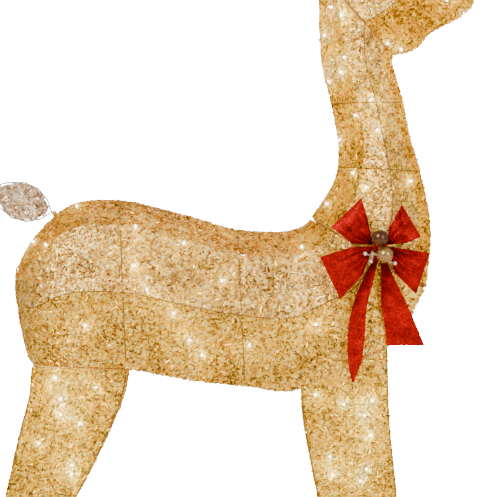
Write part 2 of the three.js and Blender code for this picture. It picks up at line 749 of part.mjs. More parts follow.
function neckFrame() {
  const parts = wires(neck, neckHoops);
  for (const spot of seamProngs) {
    const low = seamPlace(seamRing, spot);
    const wire = low.clone().add(seamLift);
    parts.push(crossWire(wire));
    parts.push(upright(low.x, 0, wire.z - prongLength, wire.z, prongRadius));
  }
  return joined(parts);
}

function neckString() {
  const lit = offset(neck, -stringInset).slice(1);
  const right = weave(lit, [BAND, MIDDLE, LOWER]).reverse();
  const left = weave(lit, [BAND_LEFT, MIDDLE_LEFT, LOWER_LEFT]);
  const low = seamPlug.z + seamLift.z + 2 * wireRadius;
  const parts = [lightString([...right, ...left], 3), ...stringClips(neck, [[2, MIDDLE], [4, MIDDLE_LEFT]])];
  parts.push(block(seamPlug.x, 0, low, low + plugLength, plugSize));
  parts.push(upright(seamPlug.x, 0, low + 1, low - plugLength, prongRadius));
  parts.push(rod(lit[0][MIDDLE], vec(seamPlug.x, 0, low + plugLength - 2), stringRadius));
  return joined(parts);
}

// Where the bow is tied, on the middle wire of the right side just above the seam.
const tieShare = 0.3;
const tiePlace = neck[0][MIDDLE].clone().lerp(neck[1][MIDDLE], tieShare);

function neckRight() {
  const hole = rod(tiePlace, tiePlace.clone().add(vec(0, -30, 0)), tieRadius + 1, roundSides);
  return panel(neck, [BAND, MIDDLE, LOWER], [panelGap / 2, panelGap / 2]).subtract(hole);
}

piece("neck_frame", neckFrame(), finishes.frameWire);
piece("neck_cover_rear", panel(neck, [BAND_LEFT, SPINE, BAND], [panelGap / 2, panelGap / 2]), finishes.goldFabric);
piece("neck_cover_right", neckRight(), finishes.champagneFabric);
piece("neck_cover_left", panel(neck, [LOWER_LEFT, MIDDLE_LEFT, BAND_LEFT], [panelGap / 2, panelGap / 2]),
  finishes.champagneFabric);
piece("neck_cover_front", panel(neck, [LOWER, LOWER_LEFT], [panelGap / 2, panelGap / 2]), finishes.goldFabric);
piece("neck_light_string", neckString(), finishes.lights);

// ---- Head pieces -------------------------------------------------------------------------------

// An antler socket stands on the crown hoop beside the centre line.
const crownHoop = head[2];
const socketShare = 0.6;
const socketFoot = (side) => {
  const at = crownHoop[SPINE].clone().lerp(crownHoop[BAND], socketShare);
  return vec(at.x, side * Math.abs(at.y), at.z);
};
const socketTop = socketFoot(1).z + socketHeight * 0.6;

function headFrame() {
  const parts = wires(head, headHoops);
  const bores = [];
  for (const side of [-1, 1]) {
    const foot = socketFoot(side);
    parts.push(upright(foot.x, foot.y, socketTop - socketHeight, socketTop, sleeveRadius));
    bores.push(socketBore(foot.x, foot.y, socketTop - socketHeight - 1, socketTop + 1));
  }
  return joined(parts).subtract(joined(bores));
}

// Where an ear is wired on, on the band wire behind the crown hoop.
const earShare = 0.45;
const earRoot = (side) => {
  const at = head[1][BAND].clone().lerp(head[2][BAND], earShare);
  return vec(at.x, side * Math.abs(at.y), at.z);
};
const earAlong = (side) => vec(-0.3, side * 0.88, 0.36).normalize();

function headCover() {
  const cloth = panel(head, [LOWER_LEFT, MIDDLE_LEFT, BAND_LEFT, SPINE, BAND, MIDDLE, LOWER].slice(1, 6),
    [panelGap / 2, panelGap / 2]);
  const holes = [-1, 1].flatMap((side) => {
    const foot = socketFoot(side);
    const root = earRoot(side);
    const stem = earAlong(side).multiplyScalar(30);
    return [
      upright(foot.x, foot.y, foot.z - 30, socketTop + 10, sleeveRadius + 1),
      rod(root, root.clone().add(stem), leafWireRadius + 1.4, roundSides),
    ];
  });
  return cloth.subtract(joined(holes));
}

function headString() {
  const lit = offset(head, -stringInset).slice(0, -1);
  const path = [...lit.map((ring) => ring[MIDDLE]), ...lit.map((ring) => ring[MIDDLE_LEFT]).reverse()];
  return joined([lightString(path), ...stringClips(head, [[2, MIDDLE], [3, MIDDLE_LEFT]])]);
}

piece("head_frame", headFrame(), finishes.frameWire);
piece("head_cover_face", headCover(), finishes.champagneFabric);
piece("head_cover_jaw", panel(head, [MIDDLE, LOWER, LOWER_LEFT, MIDDLE_LEFT], [panelGap / 2, panelGap / 2]),
  finishes.goldFabric);
piece("head_cover_nose", endCap(head, 1), finishes.champagneFabric);
piece("head_light_string", headString(), finishes.lights);

// ---- Leaf-shaped parts -------------------------------------------------------------------------

// The outline of a leaf of a given length and width, as [along, across] points from its root.
function leafOutline(length, width, inset) {
  const shares = [0, 0.12, 0.3, 0.52, 0.74, 0.9, 1];
  const bulge = (t) => Math.sin(Math.PI * t ** 0.85) ** 0.9;
  const edge = shares.map((t) => [
    inset * 1.6 + t * (length - 3.6 * inset), Math.max(0, (width / 2) * bulge(t) - inset)]);
  const back = edge.slice(1, -1).reverse().map(([x, y]) => [x, -y]);
  return [...edge, ...back];
}

// A leaf's wire loop, as solids, and its flat fabric.
function leaf(root, along, across, length, width) {
  const place = ([x, y]) => root.clone().addScaledVector(along, x).addScaledVector(across, y);
  const loop = leafOutline(length, width, 0).map(place);
  const cloth = leafOutline(length, width, leafWireRadius + fabricGap);
  return {
    wires: bentWire(loop, leafWireRadius, leafSides, true),
    cloth: plate(cloth, fabricThickness, root, along, across),
  };
}

const earStand = 12; // ear stem from the head's wire to the leaf
for (const [name, side] of [["left", 1], ["right", -1]]) {
  const along = earAlong(side);
  const across = vec(0.25, 0, 1).cross(along).cross(along).negate().normalize();
  const hook = earRoot(side).addScaledVector(along, wireRadius + seat);
  const root = earRoot(side).addScaledVector(along, earStand);
  const { wires: loop, cloth } = leaf(root, along, across, earLength, earWidth);
  piece(`ear_${name}_frame`, joined([loop, rod(hook, root, leafWireRadius)]), finishes.silverWire);
  piece(`ear_${name}_cover`, cloth, finishes.champagneFabric);
}

// The tail's loop ends in an eye that hangs on the pin over the rump.
const eyeWall = 2.4;
const eyeThickness = 2.4;
const tailAlong = vec(-0.94, 0, 0.342).normalize();

function tailEye() {
  const shape = new THREE.Shape();
  shape.absarc(0, 0, tailPinRadius + boreClearance + eyeWall, 0, 2 * Math.PI);
  const hole = new THREE.Path();
  hole.absarc(0, 0, tailPinRadius + boreClearance, 0, 2 * Math.PI);
  shape.holes.push(hole);
  const geometry = new THREE.ExtrudeGeometry(shape, { depth: eyeThickness, bevelEnabled: false, curveSegments: 8 });
  geometry.translate(0, 0, -eyeThickness / 2);
  geometry.rotateX(Math.PI / 2);
  geometry.translate(tailPin.x, tailPin.y, tailPin.z);
  return solid(geometry);
}

function tail() {
  const root = tailPin.clone().addScaledVector(tailAlong, tailPinRadius + boreClearance + eyeWall);
  const across = vec(0, 1, 0).cross(tailAlong).normalize();
  return leaf(root, tailAlong, across, tailLength, tailWidth);
}

piece("tail_frame", joined([tail().wires, tailEye()]), finishes.silverWire);
piece("tail_cover", tail().cloth, finishes.champagneFabric);

// ---- Antlers -----------------------------------------------------------------------------------

// The lines of one antler from its socket: the beam, then three tines. Places are shares of the
// sweep (backwards), the spread (outwards) and the height.
const beamShares = [[0, 0, 0], [0.3, 0.2, 0.22], [0.85, 0.5, 0.46], [0.9, 0.8, 0.74], [0.2, 1, 1]];
const tineShares = [
  [1, [-0.75, 0.36, 0.44]],
  [2, [-0.2, 0.72, 0.68]],
  [3, [1.75, 0.86, 0.95]],
];

function antlerLines(side) {
  const base = vec(socketFoot(side).x, socketFoot(side).y, socketTop + seat);
  const place = ([back, out, up]) => base.clone().add(
    vec(-back * antlerSweep, side * out * (antlerSpread - Math.abs(base.y)), up * antlerHeight));
  const beam = beamShares.map(place);
  return { base, beam, tines: tineShares.map(([from, tip]) => [beam[from], place(tip)]) };
}

// The antler's bent wire and its prong.
function antlerFrame(side) {
  const { base, beam, tines } = antlerLines(side);
  const short = (line) => {
    const [before, last] = line.slice(-2);
    return [...line.slice(0, -1), last.clone().lerp(before, 0.15)];
  };
  const parts = [short(beam), ...tines.map(short)].map((line) => bentWire(line, wireRadius));
  parts.push(upright(base.x, base.y, base.z - socketHeight + 4, base.z + 4, prongRadius));
  return joined(parts);
}

// The fabric wound round it, open where the prong comes out.
function antlerCover(side) {
  const { base, beam, tines } = antlerLines(side);
  const round = 6;
  const wrap = beam.slice(1).map((point, k) => rod(beam[k], point, antlerRadius - k, round,
    k === 0 ? 0 : antlerRadius / 3, antlerRadius - k - 1));
  tines.forEach(([from, tip]) => wrap.push(rod(from, tip, tineRadius, round, 0, tineRadius * 0.6)));
  const lines = [beam, ...tines];
  const core = lines.map((line) => bentWire(
    [...line.slice(0, -1), line[line.length - 1].clone().lerp(line[line.length - 2], 0.12)],
    wireRadius + boreClearance));
  core.push(upright(base.x, base.y, base.z - 20, base.z + 5, prongRadius + boreClearance));
  const below = block(base.x, base.y, base.z - 30, base.z, 4 * antlerRadius);
  return joined(wrap).subtract(joined(core)).subtract(below);
}

for (const [name, side] of [["left", 1], ["right", -1]]) {
  piece(`antler_${name}_frame`, antlerFrame(side), finishes.frameWire);
  piece(`antler_${name}_cover`, antlerCover(side), finishes.goldFabric);
}

// ---- Bow ---------------------------------------------------------------------------------------

// How far out the fabric of the right side lies at a place seen from that side, or 0 off the body.
const bodySkins = [torso, neck, legs.front_right, legs.hind_right].map((rings) => offset(rings, fabricOut));
function sideAt(x, z) {
  const ray = new THREE.Ray(vec(x, -2 * bodyWidth, z), vec(0, 1, 0));
  let out = 0;
  for (const grid of bodySkins)
    for (let i = 0; i < grid.length - 1; i++)
      for (let j = 0; j < grid[0].length; j++) {
        const next = (j + 1) % grid[0].length;
        const [a, b, c, d] = [grid[i][j], grid[i][next], grid[i + 1][next], grid[i + 1][j]];
        for (const corners of [[a, b, c], [a, c, d]]) {
          const hit = ray.intersectTriangle(...corners, false, vec(0, 0, 0));
          if (hit) out = Math.max(out, -hit.y);
        }
      }
  return out;
}

const knot = vec(tiePlace.x, 0, tiePlace.z);

// Outlines from the middle of the knot, [forwards, up]. The loops and tails start at its sides.
const knotOutline = [[-1, -0.6], [-0.6, -1.1], [0.6, -1.1], [1, -0.6], [1, 0.6], [0.6, 1.1], [-0.6, 1.1], [-1, 0.6]]
  .map(([dx, dz]) => [dx * knotHalf, dz * knotHalf]);
const beside = knotHalf + seat;
const bowLoops = {
  bow_loop_upper_rear: [[-beside, 1], [-44, 3], [-78, 30], [-30, 76], [-beside, 6]],
  bow_loop_upper_front: [[beside, 1], [beside, 6], [15, 28], [35, 66], [66, 14], [42, 4]],
  bow_loop_lower_rear: [[-beside, -1], [-beside, -6], [-29, -48], [-64, -86], [-96, -18], [-44, -2]],
  bow_loop_lower_front: [[beside, -1], [24, -2], [80, -12], [58, -78], [24, -44], [beside, -6]],
};
// A tail's rear and front edge and height, from the knot down.
const below = -(1.1 * knotHalf + seat);
const bowTails = {
  bow_tail_rear: [[-6, -1, below], [-26, -9, -50], [-45, -21, -100], [-52, -25, -152], [-51, -30, -186],
    [-45, -42, -218]],
  bow_tail_front: [[1, 6, below], [2, 22, -50], [2, 42, -90], [8, 60, -130], [11, 72, -160]],
};

const stretchSteps = 8;

// How far out the fabric comes over an outline.
const sideOver = (outline) => Math.max(...outline.map(([dx, dz]) => sideAt(knot.x + dx, knot.z + dz)));
const knotBack = -(sideOver(knotOutline) + 2 * seat);
const loopLevel = (outline) => -(Math.max(sideOver(outline), -knotBack) + bowClearance);
const bowFront = loopLevel(Object.values(bowLoops).flat()) - loopDepth;

for (const [name, outline] of Object.entries(bowLoops)) {
  const level = loopLevel(outline) - loopDepth / 2;
  piece(name, plate(outline, loopDepth, vec(knot.x, level, knot.z), vec(1, 0, 0), vec(0, 0, 1)), finishes.ribbon);
}

// How far out the fabric comes anywhere between one row of a ribbon end and the next.
const stretchOver = (row, next) => Math.max(...Array.from({ length: stretchSteps + 1 }, (_, k) => {
  const [rear, front, dz] = row.map((value, n) => THREE.MathUtils.lerp(value, next[n], k / stretchSteps));
  return Math.max(sideAt(knot.x + rear, knot.z + dz), sideAt(knot.x + front, knot.z + dz));
}));

// A ribbon end hangs flat, clear of the fullest part of what is behind it.
for (const [name, rows] of Object.entries(bowTails)) {
  const over = rows.slice(1).map((row, k) => stretchOver(rows[k], row));
  const level = -(Math.max(-knotBack, ...over) + bowClearance + ribbonThickness / 2);
  const outline = [
    ...rows.map(([rear, , dz]) => [rear, dz]), ...rows.map(([, front, dz]) => [front, dz]).reverse()];
  const place = vec(knot.x, level, knot.z);
  piece(name, plate(outline, ribbonThickness, place, vec(1, 0, 0), vec(0, 0, 1)), finishes.ribbon);
}

const knotDepth = knotBack - bowFront;
piece("bow_knot", plate(knotOutline, knotDepth, vec(knot.x, (knotBack + bowFront) / 2, knot.z), vec(1, 0, 0),
  vec(0, 0, 1)), finishes.ribbon);

// The twist wire from the knot through the fabric to the neck's wire.
piece("bow_tie_wire", rod(vec(tiePlace.x, tiePlace.y - wireRadius - seat, tiePlace.z),
  vec(knot.x, knotBack + seat, knot.z), tieRadius, wireSides), finishes.silverWire);

function ball(x, y, z, radius, detail) {
  const geometry = new THREE.IcosahedronGeometry(radius, detail);
  geometry.translate(x, y, z);
  return solid(geometry);
}

// The middle between the two balls from the knot, and the way from it to the bronze one, [forwards, up].
const berryMiddle = [3, -1.5];
const berryLine = [-0.284, 0.959];
const stemShare = 0.6; // a ball's stem stands this far from the middle of the knot to the ball's
const berryLevel = bowFront - berryRadius - seat;
for (const [name, way, look] of [
  ["bow_berry_bronze", 1, finishes.bronze], ["bow_berry_champagne", -1, finishes.champagne]]) {
  const [dx, dz] = berryMiddle.map((at, k) => at + way * berryLine[k] * (berryRadius + berryGap / 2));
  const [stemX, stemZ] = [knot.x + stemShare * dx, knot.z + stemShare * dz];
  const stem = rod(vec(stemX, berryLevel, stemZ), vec(stemX, bowFront - seat, stemZ), berryStemRadius, roundSides);
  piece(name, joined([ball(knot.x + dx, berryLevel, knot.z + dz, berryRadius, 1), stem]), look);
}

// A twig of small beads on wire, beside the berries.
const twigLines = [
  [[-12, -11], [-24, -13]],
  [[-12, -11], [-15, -25]],
  [[-12, -11], [-6, -34], [23, -28]],
];
const twigLevel = bowFront - beadRadius - seat;
const twig = twigLines.flatMap((line) => {
  const points = line.map(([dx, dz]) => vec(knot.x + dx, twigLevel, knot.z + dz));
  const last = points[points.length - 1];
  return [ball(last.x, last.y, last.z, beadRadius, 0), bentWire(points, tieRadius / 2)];
});
piece("bow_bead_twig", joined(twig), finishes.silverWire);

// ---- Place the model over its origin -----------------------------------------------------------

const box = new THREE.Box3().setFromObject(model);
model.position.set(-(box.min.x + box.max.x) / 2, -(box.min.y + box.max.y) / 2, -box.min.z);

export default model;
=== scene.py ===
"""A lighted yard reindeer: glitter mesh stretched over a welded wire frame, with a red bow.

Everything is in metres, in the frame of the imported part, and rides on that part's bodies.
"""

import logging
import math
from dataclasses import dataclass, field
from enum import Enum, IntEnum

import bpy
import numpy as np
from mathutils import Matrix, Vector

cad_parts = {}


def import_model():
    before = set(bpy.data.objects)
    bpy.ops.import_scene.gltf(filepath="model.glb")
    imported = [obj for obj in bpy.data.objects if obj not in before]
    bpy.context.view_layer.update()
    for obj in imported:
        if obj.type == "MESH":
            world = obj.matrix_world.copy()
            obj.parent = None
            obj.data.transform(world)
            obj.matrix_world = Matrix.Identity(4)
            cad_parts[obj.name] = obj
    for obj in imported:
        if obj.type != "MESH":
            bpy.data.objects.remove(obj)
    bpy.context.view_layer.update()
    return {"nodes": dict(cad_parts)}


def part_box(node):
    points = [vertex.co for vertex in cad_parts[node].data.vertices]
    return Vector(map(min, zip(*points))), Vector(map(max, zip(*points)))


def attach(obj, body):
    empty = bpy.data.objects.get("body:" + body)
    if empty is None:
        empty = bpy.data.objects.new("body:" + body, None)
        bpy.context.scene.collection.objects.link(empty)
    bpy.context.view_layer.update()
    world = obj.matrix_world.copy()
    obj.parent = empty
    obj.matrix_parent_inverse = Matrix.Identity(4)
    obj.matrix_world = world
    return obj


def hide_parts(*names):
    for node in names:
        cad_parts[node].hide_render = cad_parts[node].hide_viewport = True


LOG = logging.getLogger("reindeer")
MM = 0.001

FRAME_WIRE = 2.1 * MM
CROSS_WIRE = 1.9 * MM
SKIN_LIFT = 3.2 * MM
SKIN_STEP = 5 * MM
EDGE_TRIM = 0.05 * MM
TIGHT_SAG = 1 * MM
THREAD_GAP = 4.4 * MM

BULB_SCATTER = (18, 14)
TAIL_POST = 13
SOCKET_SHARE = 0.6
LEG_PRONG_SHARES = (0.3, 0.78)

UP = np.array([0, 0, 1.0])
DOWN = np.array([0, 0, -1.0])

Array = np.ndarray
Shares = tuple[float, float]
RGB = tuple[float, float, float]
Row = tuple[Shares, Shares]
Stops = list[tuple[float, RGB]]
Found = list[tuple[Array, Array]]


class Column(IntEnum):
    """The corners of a hoop, from the spine down the right side and up the left."""

    SPINE = 0
    BAND = 1
    MIDDLE = 2
    LOWER = 3
    LOWER_LEFT = 4
    MIDDLE_LEFT = 5
    BAND_LEFT = 6


BACK = (Column.BAND_LEFT, Column.SPINE, Column.BAND)
RIGHT_FLANK = (Column.BAND, Column.MIDDLE, Column.LOWER)
LEFT_FLANK = (Column.LOWER_LEFT, Column.MIDDLE_LEFT, Column.BAND_LEFT)
UNDERSIDE = (Column.LOWER, Column.LOWER_LEFT)
SEAMS = (Column.MIDDLE, Column.MIDDLE_LEFT)
NECK_PRONGS = ((Column.BAND, Column.MIDDLE, 0.35), (Column.MIDDLE, Column.LOWER, 0.45))


class Side(IntEnum):
    """The two sides of the animal, by the sign of y."""

    RIGHT = -1
    LEFT = 1


def band_column(side: Side) -> Column:
    """Returns the corner where the back band ends on a side."""
    return Column.BAND if side is Side.RIGHT else Column.BAND_LEFT


class Cloth(Enum):
    """The kinds of glitter mesh, by where they are used."""

    BAND = "band_mesh"
    FLANK = "flank_mesh"
    LOWER = "lower_mesh"
    LEG = "leg_mesh"
    LEAF = "leaf_mesh"


# ---- Plain geometry --------------------------------------------------------------------------


def unit(v: Array) -> Array:
    """Returns vectors scaled to length one, along the last axis."""
    return v / np.maximum(np.linalg.norm(v, axis=-1, keepdims=True), 1e-12)


def flowing(rows: Array, step: float) -> Array:
    """Smooths rows of points along their first axis.

    Args:
        rows: Points of shape (rows, columns, 3).
        step: The spacing wanted between the new rows.

    Returns:
        New rows on smooth curves through the given ones.
    """
    gaps = np.maximum(np.linalg.norm(np.diff(rows, axis=0), axis=2).mean(axis=1), 1e-9)
    at = np.r_[0.0, np.cumsum(gaps)]
    wide = gaps[:, None, None]
    slopes = np.diff(rows, axis=0) / wide
    tangents = np.concatenate([slopes[:1], slopes[:1], slopes[1:]])[: len(rows)]
    tangents[-1] = slopes[-1]
    if len(rows) > 2:
        tangents[1:-1] = (slopes[:-1] * wide[1:] + slopes[1:] * wide[:-1]) / (wide[:-1] + wide[1:])
    places = np.linspace(0, at[-1], max(2, round(at[-1] / step) + 1))
    k = np.clip(np.searchsorted(at, places, side="right") - 1, 0, len(gaps) - 1)
    u = ((places - at[k]) / gaps[k])[:, None, None]
    h = gaps[k][:, None, None]
    return (
        (2 * u**3 - 3 * u**2 + 1) * rows[k]
        + (u**3 - 2 * u**2 + u) * h * tangents[k]
        + (3 * u**2 - 2 * u**3) * rows[k + 1]
        + (u**3 - u**2) * h * tangents[k + 1]
    )


def flowing_line(points: Array, step: float) -> Array:
    """Returns one smooth line through the given points, at an even step."""
    return flowing(np.asarray(points, float)[:, None, :], step)[:, 0]


def grid_faces(rows: int, columns: int, closed: bool = False) -> Array:
    """Returns the quads of a grid of points, row by row, joined round if closed."""
    across = np.arange(columns if closed else columns - 1)
    i, j = np.meshgrid(np.arange(rows - 1), across, indexing="ij")
    this, after, nxt = i * columns, (i + 1) * columns, (j + 1) % columns
    return np.stack([this + j, this + nxt, after + nxt, after + j], -1).reshape(-1, 4)


def turned(*pairs: Shares) -> list[Shares]:
    """Returns a turned profile, given in millimetres, in metres."""
    return [(along * MM, radius * MM) for along, radius in pairs]


def between(a: Array, b: Array, share: float) -> Array:
    """Returns the point at a share of the way from one point to another."""
    return a * (1 - share) + b * share


@dataclass
class Stock:
    """Gathers the points and faces of one mesh before it is made."""

    points: list[Array] = field(default_factory=list)
    faces: list[Array] = field(default_factory=list)
    looks: list[Array] = field(default_factory=list)
    values: dict[str, list[Array]] = field(default_factory=dict)
    uvs: list[Array] = field(default_factory=list)
    count: int = 0

    def add(self, points: Array, faces: Array, look: int | Array = 0, **values: Array) -> None:
        """Adds points and their faces.

        Args:
            points: Shape (n, 3).
            faces: Indices into these points, shape (m, 3) or (m, 4).
            look: The finish of the faces, one number or one per face.
            **values: Point attributes by name, one number per point.
        """
        self.points.append(np.asarray(points, float))
        self.faces.append(np.asarray(faces, int) + self.count)
        self.looks.append(np.broadcast_to(np.asarray(look), (len(faces),)))
        for name, value in values.items():
            self.values.setdefault(name, []).append(np.asarray(value, float))
        self.count += len(points)

    def tube(self, line: Array, radius: float | Array, sides: int = 8, closed: bool = False,
             look: int = 0) -> None:
        """Sweeps a round section along a line of points.

        Args:
            line: Shape (n, 3).
            radius: One radius, or one for each point.
            sides: Points round the section.
            closed: Whether the line's end joins its start.
            look: The finish of the faces.
        """
        line = np.asarray(line, float)
        radii = np.broadcast_to(np.asarray(radius, float), (len(line),))
        rings = ring_sweep(line, radii, sides, closed)
        if closed:
            rings = np.concatenate([rings, rings[:1]])
        self.add(rings.reshape(-1, 3), grid_faces(len(rings), sides, closed=True), look)
        if not closed:
            for ring, turn in ((rings[0], 1), (rings[-1], -1)):
                fan = [[0, k, k + 1][::turn] for k in range(1, sides - 1)]
                self.add(ring, np.array(fan), look)

    def lathe(self, base: Array, axis: Array, profile: list[Shares], sides: int = 16,
              look: int = 0) -> None:
        """Turns a profile round an axis.

        Args:
            base: Where the axis starts.
            axis: The way it points.
            profile: Distance along the axis and radius, from end to end.
            sides: Points round the axis.
            look: The finish of the faces.
        """
        z = unit(np.asarray(axis, float))
        x = unit(np.cross(z, [0.0, 1.0, 0.0] if abs(z[1]) < 0.9 else [1.0, 0.0, 0.0]))
        y = np.cross(z, x)
        turn = np.linspace(0, 2 * math.pi, sides, endpoint=False)
        round_it = np.cos(turn)[:, None] * x + np.sin(turn)[:, None] * y
        rings = np.stack([np.asarray(base) + z * a + round_it * max(r, 1e-5) for a, r in profile])
        self.add(rings.reshape(-1, 3), grid_faces(len(rings), sides, closed=True), look)

    def ball(self, centre: Array, radius: float, look: int = 0, sides: int = 24) -> None:
        """Adds a round ball with its poles along y."""
        turn = np.linspace(0, math.pi, sides // 2 + 1)
        profile = [(radius * (1 - math.cos(a)), radius * math.sin(a)) for a in turn]
        self.lathe(np.asarray(centre) - [0, radius, 0], np.array([0, 1, 0]), profile, sides, look)

    def build(self, name: str, finishes: list[bpy.types.Material],
              smooth: bool = True) -> bpy.types.Object:
        """Makes the mesh object.

        Args:
            name: The piece's name.
            finishes: Its materials, in the order that the looks count them.
            smooth: Whether its faces are shaded smooth.

        Returns:
            The new object, linked into the scene.
        """
        mesh = bpy.data.meshes.new(name)
        faces = [row for block in self.faces for row in block.tolist()]
        mesh.from_pydata(np.concatenate(self.points).tolist(), [], faces)
        for finish in finishes:
            mesh.materials.append(finish)
        mesh.polygons.foreach_set("material_index", np.concatenate(self.looks).astype(np.int32))
        mesh.polygons.foreach_set("use_smooth", np.full(len(faces), smooth))
        for key, blocks in self.values.items():
            layer = mesh.attributes.new(key, "FLOAT", "POINT")
            layer.data.foreach_set("value", np.concatenate(blocks).astype(np.float32))
        if self.uvs:
            corners = np.concatenate(self.uvs).astype(np.float32).ravel()
            mesh.uv_layers.new(name="OFBake").uv.foreach_set("vector", corners)
        mesh.update()
        made = bpy.data.objects.new(name, mesh)
        bpy.context.scene.collection.objects.link(made)
        return made


def ring_sweep(line: Array, radii: Array, sides: int, closed: bool = False) -> Array:
    """Returns the rings of a tube along a line, without twist, shape (n, sides, 3)."""
    if closed:
        along = unit(np.roll(line, -1, 0) - np.roll(line, 1, 0))
    else:
        along = unit(np.gradient(line, axis=0))
    start = np.cross(along[0], [0.0, 0.0, 1.0])
    if np.linalg.norm(start) < 0.2:
        start = np.cross(along[0], [0.0, 1.0, 0.0])
    across = [unit(start)]
    for direction in along[1:]:
        across.append(unit(across[-1] - direction * (across[-1] @ direction)))
    x = np.array(across)
    y = np.cross(along, x)
    turn = np.linspace(0, 2 * math.pi, sides, endpoint=False)
    turn = turn[None, :, None]
    round_it = np.cos(turn) * x[:, None] + np.sin(turn) * y[:, None]
    return line[:, None] + radii[:, None, None] * round_it


# ---- Finishes --------------------------------------------------------------------------------


class Graph:
    """A short way to write a material's nodes."""

    def __init__(self, name: str) -> None:
        """Starts an empty material with a Principled shader.

        Args:
            name: The material's name.
        """
        self.material = bpy.data.materials.new(name)
        self.material.use_nodes = True
        self.tree = self.material.node_tree
        self.shader = next(n for n in self.tree.nodes if n.type == "BSDF_PRINCIPLED")

    def add(self, kind: str, inputs: dict[str | int, object] | None = None,
            **settings: object) -> bpy.types.Node:
        """Adds a node.

        Args:
            kind: The node's type without its ShaderNode prefix.
            inputs: Values or sockets for its inputs.
            **settings: Properties set on the node.

        Returns:
            The new node.
        """
        node = self.tree.nodes.new("ShaderNode" + kind)
        for key, value in settings.items():
            setattr(node, key, value)
        for key, value in (inputs or {}).items():
            self.put(node.inputs[key], value)
        return node

    def put(self, socket: bpy.types.NodeSocket, value: object) -> None:
        """Links an output to a socket, or sets the socket's own value."""
        if isinstance(value, bpy.types.NodeSocket):
            self.tree.links.new(value, socket)
        else:
            socket.default_value = value

    def shade(self, **values: object) -> None:
        """Sets the shader's sockets, with underscores for spaces in their names."""
        for key, value in values.items():
            self.put(self.shader.inputs[key.replace("_", " ")], value)

    def place(self) -> bpy.types.NodeSocket:
        """Returns the piece's own coordinates, in metres."""
        return self.add("TexCoord").outputs["Object"]

    def maths(self, operation: str, a: object, b: object) -> bpy.types.NodeSocket:
        """Returns one sum of two numbers or outputs."""
        return self.add("Math", {0: a, 1: b}, operation=operation).outputs[0]

    def plus(self, a: object, b: object) -> bpy.types.NodeSocket:
        """Returns two numbers added."""
        return self.maths("ADD", a, b)

    def less(self, a: object, b: object) -> bpy.types.NodeSocket:
        """Returns the second number taken from the first."""
        return self.maths("SUBTRACT", a, b)

    def times(self, a: object, b: object) -> bpy.types.NodeSocket:
        """Returns two numbers multiplied."""
        return self.maths("MULTIPLY", a, b)

    def vector(self, operation: str, a: object, b: object = (0, 0, 0)) -> bpy.types.NodeSocket:
        """Returns one sum of two vectors."""
        return self.add("VectorMath", {0: a, 1: b}, operation=operation).outputs[0]

    def ramp(self, value: bpy.types.NodeSocket, stops: Stops) -> bpy.types.NodeSocket:
        """Returns a colour ramp's colour.

        Args:
            value: What it reads.
            stops: Places from 0 to 1 and their colours.

        Returns:
            The colour output.
        """
        node = self.add("ValToRGB", {0: value})
        ramp = node.color_ramp
        while len(ramp.elements) < len(stops):
            ramp.elements.new(0.5)
        for element, (at, colour) in zip(ramp.elements, stops):
            element.position = at
            element.color = (*colour, 1)
        return node.outputs["Color"]

    def noise(self, place: bpy.types.NodeSocket, scale: float, detail: float = 2.0,
              output: str = "Fac") -> bpy.types.NodeSocket:
        """Returns a cloudy texture's output."""
        node = self.add("TexNoise", {"Vector": place, "Scale": scale, "Detail": detail})
        return node.outputs[output]

    def split(self, node: bpy.types.Node) -> bpy.types.bpy_prop_collection:
        """Returns the three channels of a texture's colour."""
        return self.add("SeparateColor", {0: node.outputs["Color"]}).outputs

    def sparkled(self, cells: bpy.types.Node, amount: float) -> bpy.types.NodeSocket:
        """Returns the surface's normal, leant at random in each cell of a texture."""
        tilt = self.vector("SUBTRACT", cells.outputs["Color"], (0.5, 0.5, 0.5))
        lean = self.vector("MULTIPLY", tilt, (amount,) * 3)
        normal = self.add("NewGeometry").outputs["Normal"]
        return self.vector("NORMALIZE", self.vector("ADD", normal, lean))

    def read(self, name: str) -> bpy.types.NodeSocket:
        """Returns a point attribute as a number."""
        return self.add("Attribute", attribute_name=name).outputs["Fac"]

    def speck(self, place: bpy.types.NodeSocket, size: float) -> bpy.types.Node:
        """Returns a texture of random cells of a size in metres."""
        return self.add("TexVoronoi", {"Vector": place, "Scale": 1 / size, "Randomness": 1.0})


